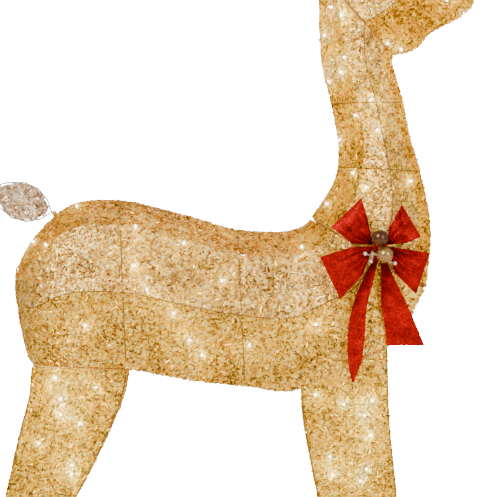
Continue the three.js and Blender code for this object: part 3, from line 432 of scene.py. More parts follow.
@dataclass(frozen=True)
class GlitterMesh:
    """Fabric of metallised film threads, with the bulbs' light through it painted on as emission.
    """

    name: str
    colours: tuple[RGB, ...]
    roughness: float = 0.3
    sparkle: float = 0.5
    lit: float = 1.0
    halo: RGB = (1.0, 0.5, 0.0)
    metallic: float = 0.92
    coarse: float = 4.2 * MM
    fine: float = 1.9 * MM
    warp: float = 4 * MM
    # share of the painted glow that every thread gets, whatever its fleck
    steady_glow: float = 0.15

    def spread(self, start: float, width: float) -> Stops:
        """Returns its colours, spaced evenly over a stretch of a ramp."""
        last = len(self.colours) - 1
        return [(start + width * k / last, colour) for k, colour in enumerate(self.colours)]

    def glow(self, graph: Graph, flecks: bpy.types.NodeSocket, height: float) -> None:
        """Paints the light of the bulbs that comes through the threads, as emission on the fabric,
        with painted glints on a few threads.

        Args:
            graph: The material.
            flecks: A random number from thread to thread; its cube lifts a few threads into painted
                glints.
            height: How bright the brightest thread is.
        """
        glow = graph.read("glow")
        colour = graph.ramp(glow, [(0.0, self.halo), (0.45, (1.0, 0.55, 0.0)),
                                   (0.85, (1.0, 0.68, 0.03)), (1.0, (1.0, 0.84, 0.25))])
        power = graph.times(graph.maths("POWER", glow, 1.35), 2.0 * self.lit)
        mask = graph.plus(graph.times(graph.maths("POWER", flecks, 3.0), height), self.steady_glow)
        graph.shade(Emission_Color=colour, Emission_Strength=graph.times(power, mask))

    def fabric(self) -> bpy.types.Material:
        """Returns the material of the fabric itself."""
        graph = Graph(self.name)
        place = graph.place()
        warp = graph.noise(place, 160.0, output="Color")
        moved = graph.vector("ADD", place, graph.vector("MULTIPLY", warp, (self.warp,) * 3))
        coarse, fine = graph.speck(moved, self.coarse), graph.speck(moved, self.fine)
        pick, flick = graph.split(coarse), graph.split(fine)
        mixed = graph.plus(graph.times(pick[0], 0.55), graph.times(flick[0], 0.45))
        patch = graph.less(graph.noise(place, 22.0, 3.0), 0.5)
        shifted = graph.plus(mixed, graph.times(patch, 0.85))
        bump = graph.add("Bump", {"Height": pick[1], "Normal": graph.sparkled(fine, self.sparkle),
                                  "Strength": 0.6, "Distance": 1.2 * MM})
        rough = graph.plus(graph.times(flick[1], 0.25), self.roughness)
        graph.shade(Base_Color=graph.ramp(shifted, self.spread(0.24, 0.52)),
                    Metallic=self.metallic, Roughness=rough, Normal=bump.outputs[0])
        # Painted bulb glow as emission, with painted glints on random threads.
        self.glow(graph, flick[2], 2.6)
        return graph.material

    def threads(self) -> bpy.types.Material:
        """Returns the material of the loose ends that stand out of the fabric."""
        graph = Graph(self.name + "_threads")
        tint = graph.read("tint")
        graph.shade(Base_Color=graph.ramp(tint, self.spread(0.0, 1.0)), Metallic=self.metallic,
                    Roughness=self.roughness)
        # Painted bulb glow as emission, with painted glints on the palest threads.
        self.glow(graph, tint, 2.4)
        return graph.material


@dataclass(frozen=True)
class WireFinish:
    """Painted or plated wire."""

    name: str
    colour: RGB
    roughness: float = 0.35

    def material(self) -> bpy.types.Material:
        """Returns the wire's material, worn a little along its length."""
        graph = Graph(self.name)
        worn = graph.noise(graph.place(), 240.0, 4.0)
        dark = tuple(0.55 * c for c in self.colour)
        rough = graph.plus(graph.times(worn, 0.3), self.roughness - 0.1)
        bump = graph.add("Bump", {"Height": worn, "Strength": 0.25, "Distance": 0.4 * MM})
        colour = graph.ramp(worn, [(0.3, dark), (0.6, self.colour)])
        graph.shade(Base_Color=colour, Metallic=0.85, Roughness=rough, Normal=bump.outputs[0])
        return graph.material


@dataclass(frozen=True)
class GlitterRibbon:
    """Stiff red ribbon with fine glitter glued over its pile."""

    name: str = "red_glitter_ribbon"
    deep: RGB = (0.06, 0.0, 0.0)
    bright: RGB = (0.38, 0.0, 0.0)
    grain: float = 1.1 * MM
    sparkle: float = 0.3
    pile_roughness: float = 0.62
    shiny_share: float = 0.28

    def material(self) -> bpy.types.Material:
        """Returns the ribbon's material, with painted shade in its folds."""
        graph = Graph(self.name)
        place = graph.place()
        cells = graph.speck(place, self.grain)
        pick = graph.split(cells)
        cloud = graph.noise(place, 60.0, 3.0)
        mixed = graph.plus(graph.times(pick[0], 0.4), graph.times(cloud, 0.7))
        # Painted shade: darker in the ribbon's folds and where it gathers at the knot.
        mixed = graph.less(mixed, graph.times(graph.read("fold"), 0.34))
        # The palest stop paints glitter glints into the base colour.
        colour = graph.ramp(mixed, [(0.2, self.deep), (0.6, self.bright),
                                    (0.88, (0.7, 0.0, 0.0)), (0.97, (1.0, 0.25, 0.18))])
        shiny = graph.maths("GREATER_THAN", pick[1], 1 - self.shiny_share)
        rough = graph.less(self.pile_roughness, graph.times(shiny, 0.34))
        graph.shade(Base_Color=colour, Metallic=graph.times(shiny, 0.8), Roughness=rough,
                    Normal=graph.sparkled(cells, self.sparkle), Specular_IOR_Level=0.08)
        return graph.material


@dataclass(frozen=True)
class BallFinish:
    """A pearly metallic ornament ball."""

    name: str
    colour: RGB

    def material(self) -> bpy.types.Material:
        """Returns the ball's material."""
        graph = Graph(self.name)
        cloud = graph.noise(graph.place(), 320.0, 3.0)
        dark = tuple(0.62 * c for c in self.colour)
        light = tuple(min(1.0, 1.25 * c) for c in self.colour)
        rough = graph.plus(graph.times(cloud, 0.16), 0.16)
        bump = graph.add("Bump", {"Height": cloud, "Strength": 0.12, "Distance": 0.3 * MM})
        graph.shade(Base_Color=graph.ramp(cloud, [(0.3, dark), (0.65, light)]), Metallic=0.8,
                    Roughness=rough, Normal=bump.outputs[0], Coat_Weight=0.5, Coat_Roughness=0.12)
        return graph.material


@dataclass(frozen=True)
class MouldedFinish:
    """Moulded plastic with a fine spark texture."""

    name: str
    colour: RGB
    roughness: float = 0.5

    def material(self) -> bpy.types.Material:
        """Returns the plastic's material."""
        graph = Graph(self.name)
        place = graph.place()
        grain, scuff = graph.noise(place, 900.0), graph.noise(place, 60.0, 5.0)
        light = tuple(min(1.0, 1.5 * c + 0.01) for c in self.colour)
        bump = graph.add("Bump", {"Height": grain, "Strength": 0.3, "Distance": 0.3 * MM})
        rough = graph.plus(graph.times(scuff, 0.25), self.roughness - 0.1)
        graph.shade(Base_Color=graph.ramp(scuff, [(0.35, self.colour), (0.75, light)]),
                    Roughness=rough, Normal=bump.outputs[0])
        return graph.material


@dataclass(frozen=True)
class BulbFinish:
    """The lit lens of a small warm-white bulb."""

    name: str = "lit_bulb"
    strength: float = 9.0

    def material(self) -> bpy.types.Material:
        """Returns the lens material, hotter in patches where the filament sits."""
        graph = Graph(self.name)
        cloud = graph.noise(graph.place(), 300.0)
        colour = graph.ramp(cloud, [(0.3, (1.0, 0.8, 0.42)), (0.6, (1.0, 0.93, 0.72))])
        graph.shade(Base_Color=colour, Roughness=0.2, Emission_Color=colour,
                    Emission_Strength=self.strength)
        return graph.material


GOLD_BAND = GlitterMesh(
    "band_mesh",
    ((0.06, 0.014, 0.0), (0.42, 0.15, 0.0), (1.0, 0.42, 0.0), (1.0, 0.5, 0.0), (1.0, 0.76, 0.04)),
    sparkle=0.4, lit=0.6)
CHAMPAGNE = GlitterMesh(
    "flank_mesh",
    ((0.05, 0.016, 0.012), (0.42, 0.2, 0.1), (1.0, 0.58, 0.12), (1.0, 0.62, 0.0), (1.0, 0.95, 0.5)),
    sparkle=0.55)
# A darker, more saturated copy of the flank mesh: painted shade on the lower flanks and belly,
# which slant downwards.
SHADED_LOWER = GlitterMesh(
    "lower_mesh",
    ((0.04, 0.014, 0.01), (0.38, 0.16, 0.05), (1.0, 0.52, 0.0), (1.0, 0.58, 0.0), (1.0, 0.9, 0.3)),
    sparkle=0.55)
YELLOW_LEG = GlitterMesh(
    "leg_mesh",
    ((0.05, 0.018, 0.01), (0.42, 0.18, 0.04), (1.0, 0.54, 0.0), (1.0, 0.6, 0.0), (1.0, 0.88, 0.25)),
    sparkle=0.55)
LEAF_MESH = GlitterMesh(
    "leaf_mesh",
    ((0.22, 0.13, 0.07), (0.5, 0.33, 0.19), (0.72, 0.5, 0.3), (0.86, 0.65, 0.42), (1.0, 0.92, 0.8)),
    sparkle=0.7, lit=0.0)


class Palette:
    """Every finish of the part, made once."""

    def __init__(self) -> None:
        """Makes the materials."""
        kinds = {Cloth.BAND: GOLD_BAND, Cloth.FLANK: CHAMPAGNE, Cloth.LOWER: SHADED_LOWER,
                 Cloth.LEG: YELLOW_LEG, Cloth.LEAF: LEAF_MESH}
        self.cloth = {kind: mesh.fabric() for kind, mesh in kinds.items()}
        self.threads = {kind: mesh.threads() for kind, mesh in kinds.items()}
        self.gold_wire = WireFinish("gold_wire", (0.86, 0.5, 0.12)).material()
        self.seam_wire = WireFinish("seam_wire", (0.36, 0.18, 0.04), 0.5).material()
        self.silver_wire = WireFinish("silver_wire", (0.75, 0.73, 0.7), 0.25).material()
        self.ribbon = GlitterRibbon().material()
        self.bronze_ball = BallFinish("bronze_ball", (0.11, 0.032, 0.006)).material()
        self.champagne_ball = BallFinish("champagne_ball", (0.4, 0.23, 0.07)).material()
        self.bead = BallFinish("bead_silver", (0.8, 0.78, 0.76)).material()
        self.foot = MouldedFinish("foot_plastic", (0.3, 0.19, 0.07)).material()
        self.inlet = MouldedFinish("inlet_plastic", (0.02, 0.02, 0.022), 0.4).material()
        self.string = MouldedFinish("string_plastic", (0.35, 0.22, 0.08), 0.35).material()
        self.bulb = BulbFinish().material()


# ---- Lofted sections -------------------------------------------------------------------------


@dataclass(frozen=True)
class Hoop:
    """One bent wire of a section, from its back point to its lowest point, in millimetres."""

    top: Shares
    low: Shares
    half: float
    low_half: float
    band: float = 40.0
    band_share: float = 0.72
    middle: float = 0.55

    def corners(self) -> Array:
        """Returns its seven corners, in the order of Column."""
        top, low = np.array(self.top), np.array(self.low)
        depth = np.linalg.norm(low - top)
        right = [(self.band / depth, self.half * self.band_share), (self.middle, self.half),
                 (1.0, self.low_half)]

        def at(share: float, y: float) -> list[float]:
            """Returns a corner at a share of the way down."""
            x, z = top + (low - top) * share
            return [x, y, z]

        left = right[::-1]
        return np.array([at(0, 0), *(at(s, -y) for s, y in right), *(at(s, y) for s, y in left)])


@dataclass
class Panel:
    """A stretch of skin as a grid, with its outward normals and the finish of each strip."""

    points: Array
    normals: Array
    looks: Array

    def areas(self) -> Array:
        """Returns the area of each face, in square metres."""
        p = self.points
        crossed = np.cross(p[1:, 1:] - p[:-1, :-1], p[1:, :-1] - p[:-1, 1:])
        return np.linalg.norm(crossed, axis=2) / 2

    @property
    def area(self) -> float:
        """The area of all its faces, in square metres."""
        return float(self.areas().sum())

    @property
    def flat(self) -> Shares:
        """The width and length of the strip that it is cut from, in metres."""
        across = np.linalg.norm(np.diff(self.points, axis=1), axis=2).sum(axis=1).max()
        along = np.linalg.norm(np.diff(self.points, axis=0), axis=2).sum(axis=0).max()
        return round(float(across), 3), round(float(along), 3)


class Section:
    """A section of the frame: rings of corners, and the smooth wires through them."""

    def __init__(self, rings: Array, step: float = 5 * MM) -> None:
        """Keeps the rings and smooths them.

        Args:
            rings: Corner points in metres, shape (rings, corners, 3).
            step: The spacing of the smooth rows.
        """
        self.rings = rings
        self.fine = flowing(rings, step)
        columns = rings.shape[1]
        nxt = np.roll(self.fine, -1, axis=1)
        along = np.gradient(self.fine, axis=0)
        facet = unit(np.cross(along + np.roll(along, -1, axis=1), nxt - self.fine))
        out = (self.fine + nxt) / 2 - self.fine.mean(axis=1, keepdims=True)
        facet *= np.sign((facet * out).sum(-1, keepdims=True) + 1e-9)
        corner = unit(facet + np.roll(facet, 1, axis=1))
        stretch = np.clip((corner * facet).sum(-1, keepdims=True), 0.55, 1.0)
        self.facet, self.corner, self.stretch, self.columns = facet, corner, stretch, columns

    def lifted(self, out: float) -> Array:
        """Returns the smooth corners moved out square to the facets."""
        return self.fine + self.corner * (out / self.stretch)

    def panel(self, columns: tuple[int, ...], looks: list[int], sag: float = 2.2 * MM) -> Panel:
        """Returns the skin over neighbouring columns, hollow between its wires.

        Args:
            columns: Corner columns in order round the section.
            looks: The finish of the strip between each pair.
            sag: How hollow each strip is at its middle.

        Returns:
            The panel.
        """
        corners = self.lifted(SKIN_LIFT)
        points, normals, marks = [], [], []
        for k, (a, b) in enumerate(zip(columns[:-1], columns[1:])):
            width = np.linalg.norm(corners[:, b] - corners[:, a], axis=1)
            count = max(2, round(float(width.mean()) / SKIN_STEP))
            start = EDGE_TRIM / width if k == 0 else np.zeros_like(width)
            stop = 1 - EDGE_TRIM / width if k == len(looks) - 1 else np.ones_like(width)
            share = np.linspace(0, 1, count + 1)[None, :]
            share = start[:, None] + share * (stop - start)[:, None]
            if k:
                share = share[:, 1:]
            share = share[..., None]
            hollow = 4 * share * (1 - share) * np.minimum(sag, 0.03 * width)[:, None, None]
            flat = between(corners[:, a, None], corners[:, b, None], share)
            points.append(flat - self.facet[:, a, None] * hollow)
            blend = np.abs(2 * share - 1) ** 8 * 0.5
            near = np.where(share < 0.5, self.facet[:, (a - 1) % self.columns, None],
                            self.facet[:, b % self.columns, None])
            normals.append(unit(self.facet[:, a, None] * (1 - blend) + near * blend))
            marks += [looks[k]] * count
        return Panel(np.concatenate(points, 1), np.concatenate(normals, 1), np.array(marks))

    def rows_of_rings(self) -> Array:
        """Returns the smooth row that lies nearest to each ring."""
        apart = self.fine[:, None] - self.rings[None]
        return np.linalg.norm(apart, axis=(2, 3)).argmin(axis=0)

    def wires(self, stock: Stock, hoops: list[int]) -> None:
        """Adds the section's lengthwise wires and its hoops."""
        for column in range(self.columns):
            stock.tube(self.fine[:, column], FRAME_WIRE)
        at = self.rows_of_rings()
        inner = self.lifted(-0.7 * FRAME_WIRE)
        for ring in hoops:
            row = self.rings[ring] if ring in (0, len(self.rings) - 1) else inner[at[ring]]
            stock.tube(rounded(row), FRAME_WIRE, closed=True)


def rounded(corners: Array, share: float = 0.12) -> Array:
    """Returns a closed line with each corner cut into a short bend."""
    before = corners + (np.roll(corners, 1, 0) - corners) * share
    after = corners + (np.roll(corners, -1, 0) - corners) * share
    middle = (before + after) / 4 + corners / 2
    return np.stack([before, middle, after], 1).reshape(-1, 3)


# ---- Light -----------------------------------------------------------------------------------


class Lamps:
    """Where the bulbs of the strings come through the fabric, and how far their light spreads as
    painted glow on the fabric.
    """

    near = 5.5 * MM
    far = 24 * MM
    # painted glow that every point gets, even far from any bulb
    base_glow = 0.24

    def __init__(self) -> None:
        """Starts with no bulbs."""
        self.places: list[Array] = []

    def glow(self, points: Array) -> Array:
        """Returns how much painted glow each point gets, from 0 to 1, never below a painted base
        glow.
        """
        total = np.full(len(points), self.base_glow)
        for place in self.places:
            d2 = ((points - place) ** 2).sum(1)
            core, halo = np.exp(-d2 / (2 * self.near**2)), np.exp(-d2 / (2 * self.far**2))
            total += 0.75 * core + 0.3 * halo
        return np.clip(total, 0, 1)

    def stand(self, panels: list[Panel], spots: list[Shares], side: Side,
              rng: np.random.Generator) -> Found:
        """Finds the skin nearest to each spot, seen square from one side.

        Args:
            panels: The skins of the section.
            spots: Places along x and z, in metres.
            side: The side that is looked at.
            rng: Where the small scatter comes from.

        Returns:
            The place and outward way of each bulb.
        """
        points = np.concatenate([p.points.reshape(-1, 3) for p in panels])
        normals = np.concatenate([p.normals.reshape(-1, 3) for p in panels])
        facing = normals[:, 1] * side > 0.15
        points, normals = points[facing], normals[facing]
        found = []
        for x, z in spots:
            k = ((points[:, 0] - x) ** 2 + (points[:, 2] - z) ** 2).argmin()
            way = unit(normals[k] + rng.normal(0, 0.25, 3))
            self.places.append(points[k])
            found.append((points[k], way))
        return found


def scattered(spot: Shares, rng: np.random.Generator) -> Shares:
    """Returns a bulb's place moved a little, for a side that mirrors the other."""
    (x, z), (dx, dz) = spot, BULB_SCATTER
    return x + rng.uniform(-dx, dx), z + rng.uniform(-dz, dz)


HOLDER = turned((0, 0), (0, 1.7), (6, 1.9), (6.2, 0))
HOLDER_SET_BACK = 7 * MM
LENS = turned((0, 1.5), (2, 2.1), (4.5, 2.2), (6, 1.6), (6.8, 0.7), (7, 0))
LENS_SET_BACK = 1.6 * MM


def light_bulbs(name: str, body: str, found: Found, palette: Palette) -> None:
    """Builds a section's bulbs, each a lens in a short holder.

    Args:
        name: The piece's name.
        body: The body that it rides on.
        found: Each bulb's place and the way it points.
        palette: The finishes.
    """
    stock = Stock()
    for place, way in found:
        stock.lathe(place - way * HOLDER_SET_BACK, way, HOLDER, 8, look=1)
        stock.lathe(place - way * LENS_SET_BACK, way, LENS, 10)
    made = stock.build(name, [palette.bulb, palette.string])
    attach(made, body)


TINTS = 8
GLOWS = 12
THREAD_OUTLINE = np.array([[-1, -1], [1, -1], [1, 1], [-1, 1]])


def threads(name: str, body: str, panels: list[Panel], kinds: list[Cloth], lamps: Lamps,
            palette: Palette, seed: int, apart: float = THREAD_GAP,
            length: float = 7 * MM) -> None:
    """Scatters the loose thread ends that stand out of a section's fabric.

    Args:
        name: The piece's name.
        body: The body that they ride on.
        panels: The skins that they stand on.
        kinds: The cloth of each look number.
        lamps: The bulbs that light them.
        palette: The finishes.
        seed: The seed of their scatter.
        apart: The usual distance from one to the next.
        length: Their usual length.
    """
    rng = np.random.default_rng(seed)
    stock = Stock()
    for panel in panels:
        p, n = panel.points, panel.normals
        area = panel.areas()
        count = int(area.sum() / apart**2)
        pick = rng.choice(area.size, count, p=(area / area.sum()).ravel())
        i, j = np.unravel_index(pick, area.shape)
        u, v = rng.random((2, count, 1))
        centre = (p[i, j] * (1 - u) * (1 - v) + p[i + 1, j] * u * (1 - v)
                  + p[i, j + 1] * (1 - u) * v + p[i + 1, j + 1] * u * v)
        out = n[i, j]
        along = unit(p[i + 1, j] - p[i, j])
        across = unit(np.cross(out, along))
        turn = rng.uniform(0, 2 * math.pi, (count, 1))
        lean = rng.normal(0.06, 0.24, (count, 1))
        roll = rng.normal(0, 0.5, (count, 1))
        on_skin = along * np.cos(turn) + across * np.sin(turn)
        way = unit(on_skin * np.cos(lean) + out * np.sin(lean))
        flat = unit(np.cross(out, way))
        wide = unit(flat * np.cos(roll) + out * np.sin(roll))
        wide = wide * rng.uniform(0.5, 0.9, (count, 1)) * MM
        long = way * length * rng.uniform(0.3, 0.7, (count, 1))
        centre = centre + out * rng.uniform(0.2, 1.8, (count, 1)) * MM
        foot, tip = centre - long, centre + long
        corners = np.stack([foot - wide, foot + wide, tip + wide, tip - wide], 1)
        tint = np.floor(rng.beta(1.6, 1.6, count) * TINTS) / (TINTS - 0.5)
        glow = np.floor(lamps.glow(centre) * (GLOWS - 0.01)) / (GLOWS - 1)
        stock.add(corners.reshape(-1, 3), np.arange(4 * count).reshape(-1, 4), panel.looks[j],
                  tint=np.repeat(tint, 4), glow=np.repeat(glow, 4))
        cell = np.stack([(np.floor(tint * (TINTS - 0.5)) + 0.5) / TINTS,
                         (np.floor(glow * (GLOWS - 1)) + 0.5) / GLOWS], 1)
        stock.uvs.append((cell[:, None] + THREAD_OUTLINE[None] * 0.03).reshape(-1, 2))
    made = stock.build(name, [palette.threads[kind] for kind in kinds], smooth=False)
    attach(made, body)


def cover(name: str, body: str, panel: Panel, kinds: list[Cloth], lamps: Lamps, palette: Palette,
          nodes: list[str], rests_on: str, seed: int) -> None:
    """Builds one cut piece of fabric, stretched over the wires.

    Args:
        name: The piece's name.
        body: The body that it rides on.
        panel: Its grid.
        kinds: The cloth of each look number.
        lamps: The bulbs behind it.
        palette: The finishes.
        nodes: The frame nodes that it stands for.
        rests_on: The piece or node that holds it; not used.
        seed: The seed of its roughness.
    """
    rng = np.random.default_rng(seed)
    rows, columns = panel.points.shape[:2]
    points = panel.points + panel.normals * rng.normal(0, 0.35 * MM, (rows, columns, 1))
    points = points.reshape(-1, 3)
    stock = Stock()
    looks = np.tile(panel.looks, rows - 1)
    stock.add(points, grid_faces(rows, columns), looks, glow=lamps.glow(points))
    made = stock.build(name, [palette.cloth[kind] for kind in kinds])
    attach(made, body)
    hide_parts(*nodes)
    round(panel.area, 4)


# ---- The animal ------------------------------------------------------------------------------


@dataclass(frozen=True)
class Build:
    """The sizes that the sections share, in millimetres."""

    length: float = 656.0
    belly: float = 464.0
    depth: float = 250.0
    half_width: float = 118.0
    neck_height: float = 392.0
    neck_half: float = 80.0
    head_length: float = 250.0
    head_half: float = 52.0
    wire: float = 2.0
    seam_gap: float = 0.35
    leg_top_out: float = 72.0
    leg_foot_out: float = 84.0
    leg_half: float = 34.0
    foot_half: float = 19.0
    foot_ring: float = 12.3
    foot_middle: float = -0.439

    @property
    def hind_foot(self) -> float:
        """Where the hind feet stand along the body."""
        return self.foot_middle * self.length

    @property
    def seam(self) -> float:
        """How far apart the two wires of a seam stand."""
        return 2 * self.wire + self.seam_gap


@dataclass(frozen=True)
class Prong:
    """A peg of one section and the sleeve that takes it in the next."""

    radius: float = 2.4 * MM
    length: float = 34 * MM
    sleeve_radius: float = 4.4 * MM
    bore: float = 2.8 * MM
    sleeve_length: float = 40 * MM

    def peg(self, stock: Stock, foot: Array, way: Array) -> None:
        """Adds the peg, round at its tip."""
        tip = self.length
        profile = [(0, 0), (0, self.radius), (tip - 2 * MM, self.radius),
                   (tip - 0.6 * MM, 0.7 * self.radius), (tip, 0)]
        stock.lathe(foot, way, profile, 16)

    def sleeve(self, stock: Stock, mouth: Array, way: Array) -> None:
        """Adds the sleeve, open at its mouth."""
        end, lip = self.sleeve_length, 0.6 * MM
        outer = self.sleeve_radius
        profile = [(end - 2 * MM, 0), (end - 2 * MM, self.bore), (0, self.bore),
                   (-0.01 * MM, outer - lip), (lip, outer), (end - lip, outer),
                   (end, outer - lip), (end, 0)]
        stock.lathe(mouth, way, profile, 20)


class Deer:
    """The whole part: its sizes, its place in the frame, its finishes and its lamps."""

    def __init__(self) -> None:
        """Finds the part's place from its feet and works out its sections."""
        self.size = Build()
        low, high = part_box("leg_hind_right_foot")
        self.shift = (low.x + high.x) / 2 / MM - self.size.hind_foot
        self.palette = Palette()
        self.lamps = Lamps()
        self.prong = Prong()
        self.torso = self.torso_rings()
        self.neck = self.neck_rings()
        self.head = self.head_rings()

    def placed(self, rings: Array) -> Array:
        """Returns millimetre points in the frame, in metres."""
        return (rings + [self.shift, 0, 0]) * MM

    def torso_rings(self) -> Array:
        """Returns the torso's rings, rump first."""
        s = self.size
        rows = [((0, 0.76), (0.006, 0.4), 0.22, 0.16), ((0.035, 0.93), (0.04, 0.15), 0.72, 0.6),
                ((0.12, 1.14), (0.13, 0.14), 0.95, 0.88), ((0.245, 1.18), (0.265, 0.125), 1, 0.88),
                ((0.4, 1.09), (0.4, 0.06), 0.98, 0.72), ((0.54, 0.99), (0.56, 0.01), 0.94, 0.7),
                ((0.655, 0.98), (0.695, 0), 0.9, 0.84), ((0.695, 1.01), (0.8, 0.139), 0.86, 0.84),
                ((0.71, 1.035), (0.915, 0.29), 0.8, 0.7), ((0.72, 1.06), (0.992, 0.62), 0.7, 0.4)]

        def point(place: Shares) -> Shares:
            """Returns a place along and up the body."""
            return (place[0] - 0.5) * s.length, s.belly + place[1] * s.depth

        return np.array([Hoop(point(top), point(low), half * s.half_width,
                              low_half * s.half_width, band=20 if top[1] < 0.8 else 40).corners()
                         for top, low, half, low_half in rows])

    def lift(self, ring: Array) -> Array:
        """Returns the step across the seam on a ring, square to it and up."""
        down = ring[Column.LOWER] - ring[Column.SPINE]
        down = unit(down * [1, 0, 1])
        return np.array([-down[2], 0, down[0]]) * self.size.seam

    def neck_rings(self) -> Array:
        """Returns the neck's rings, from the body seam up."""
        s = self.size
        step = self.lift(self.torso[-1])
        base = self.torso[-1] + step
        foot = self.torso[-1][Column.SPINE][2] + step[2]
        rows = [((0.755, 0.075), (1.007, -0.07), 1, 0.42),
                ((0.79, 0.21), (0.982, 0.19), 0.86, 0.36),
                ((0.79, 0.33), (0.957, 0.335), 0.74, 0.34),
                ((0.774, 0.475), (0.94, 0.475), 0.65, 0.34),
                ((0.75, 0.66), (0.915, 0.62), 0.6, 0.34),
                ((0.742, 1.0), (0.912, 0.675), 0.6, 0.34)]

        def point(place: Shares) -> Shares:
            """Returns a place along the body and up the neck."""
            return (place[0] - 0.5) * s.length, foot + place[1] * s.neck_height

        return np.array([base, *(Hoop(point(top), point(low), half * s.neck_half,
                                      low_half * s.neck_half, middle=0.62).corners()
                                 for top, low, half, low_half in rows)])

    def head_rings(self) -> Array:
        """Returns the head's rings, from the neck to the muzzle."""
        s = self.size
        base = self.neck[-1] + self.lift(self.neck[-1])
        start = base[Column.SPINE]
        rows = [((0.09, 0.25), (0.585, -0.475), 1, 0.4),
                ((0.33, 0.385), (0.69, -0.37), 0.95, 0.42),
                ((0.6, 0.295), (0.785, -0.315), 0.76, 0.42),
                ((0.81, 0.125), (0.88, -0.265), 0.58, 0.4),
                ((0.965, -0.02), (0.955, -0.205), 0.42, 0.3)]
        rings = [base]
        for top, low, half, low_half in rows:
            a = (start[0] + top[0] * s.head_length, start[2] + top[1] * s.head_length)
            b = (start[0] + low[0] * s.head_length, start[2] + low[1] * s.head_length)
            band = 0.16 * math.hypot(a[0] - b[0], a[1] - b[1])
            rings.append(Hoop(a, b, half * s.head_half, low_half * s.head_half, band=band,
                              middle=0.66).corners())
        return np.array(rings)

    def antler_feet(self) -> dict[Side, Array]:
        """Returns where each antler stands on the head, in millimetres."""
        ring = self.head[2]
        return {side: between(ring[Column.SPINE], ring[band_column(side)], SOCKET_SHARE)
                for side in Side}

    def tail_root(self) -> Array:
        """Returns the foot of the tail's post on the back, in millimetres."""
        return between(self.torso[1][Column.SPINE], self.torso[2][Column.SPINE], 0.6)

    def hang_bulbs(self, name: str, body: str, skins: list[Panel], spots: tuple[Shares, ...],
                   side: Side, moved: bool, rng: np.random.Generator) -> None:
        """Stands bulbs in a section's skins, seen square from one side.

        Args:
            name: The piece's name.
            body: The body that it rides on.
            skins: The skins of the section.
            spots: Places along x and z, in millimetres.
            side: The side that is looked at.
            moved: Whether the places are scattered afresh.
            rng: Where the scatter comes from.
        """
        chosen = [scattered(spot, rng) if moved else spot for spot in spots]
        found = self.lamps.stand(skins, [(x * MM, z * MM) for x, z in chosen], side, rng)
        light_bulbs(name, body, found, self.palette)

    def dress(self, section: str, body: str, panels: dict[str, tuple[Panel, str]],
              kinds: list[Cloth], seed: int, frame: str,
              apart: float = THREAD_GAP) -> None:
        """Builds a section's covers and their loose threads.

        Args:
            section: The start of the pieces' names.
            body: The body that they ride on.
            panels: Each cover's panel and a slot name that is not used, by its name after the
                section's.
            kinds: The cloth of each look number.
            seed: The seed of the section.
            frame: The piece that holds the covers.
            apart: The spacing of the loose threads.
        """
        for k, (key, (panel, finish)) in enumerate(panels.items()):
            node = f"{section}_cover_{key}" if key else f"{section}_cover"
            cover(node.replace("cover", "fabric"), body, panel, kinds, self.lamps, self.palette,
                  [node], frame, seed + k)
            LOG.info("%s: %s across and along", node, panel.flat)
        shown = [panel for panel, _ in panels.values()]
        threads(f"{section}_threads", body, shown, kinds, self.lamps, self.palette, seed + 50,
                apart)


def cap(ring: Array, out: Array, dome: float = 5 * MM, look: int = 0) -> Panel:
    """Returns a domed end cover over a closed ring of seven corners.

    Args:
        ring: The corners, in the order of Column, in metres.
        out: The way that the end faces.
        dome: The height of its middle.
        look: Its finish.

    Returns:
        The panel.
    """
    rows, columns = 14, 10
    right = ring[: Column.LOWER + 1]
    left = right * [1, -1, 1]
    at = np.linspace(0.02, 2.98, rows)
    k = np.clip(at.astype(int), 0, 2)
    u = (at - k)[:, None]
    a, b = between(right[k], right[k + 1], u), between(left[k], left[k + 1], u)
    v = np.linspace(0, 1, columns)[None, :, None]
    points = between(a[:, None], b[:, None], v)
    rise = (4 * v * (1 - v)) ** 0.5 * np.sin(np.linspace(0.35, math.pi, rows))[:, None, None]
    way = unit(np.asarray(out, float))
    points = points + way * (SKIN_LIFT + dome * rise)
    normals = np.broadcast_to(way, points.shape).copy()
    return Panel(points, normals, np.full(columns - 1, look))


def seam_cords(stock: Stock, section: Section, columns: tuple[int, ...],
               hoops: list[int]) -> None:
    """Adds the thin cords that bind the fabric to its wires, seen as lines on the skin.

    Args:
        stock: Where they go, as its second finish.
        section: The section.
        columns: The lengthwise wires that are bound.
        hoops: The hoops that are bound.
    """
    outer = section.lifted(3.5 * MM)
    for column in columns:
        stock.tube(outer[:, column], 0.9 * MM, 6, look=1)
    at = section.rows_of_rings()
    for ring in hoops:
        stock.tube(rounded(outer[at[ring]]), 0.8 * MM, 6, closed=True, look=1)


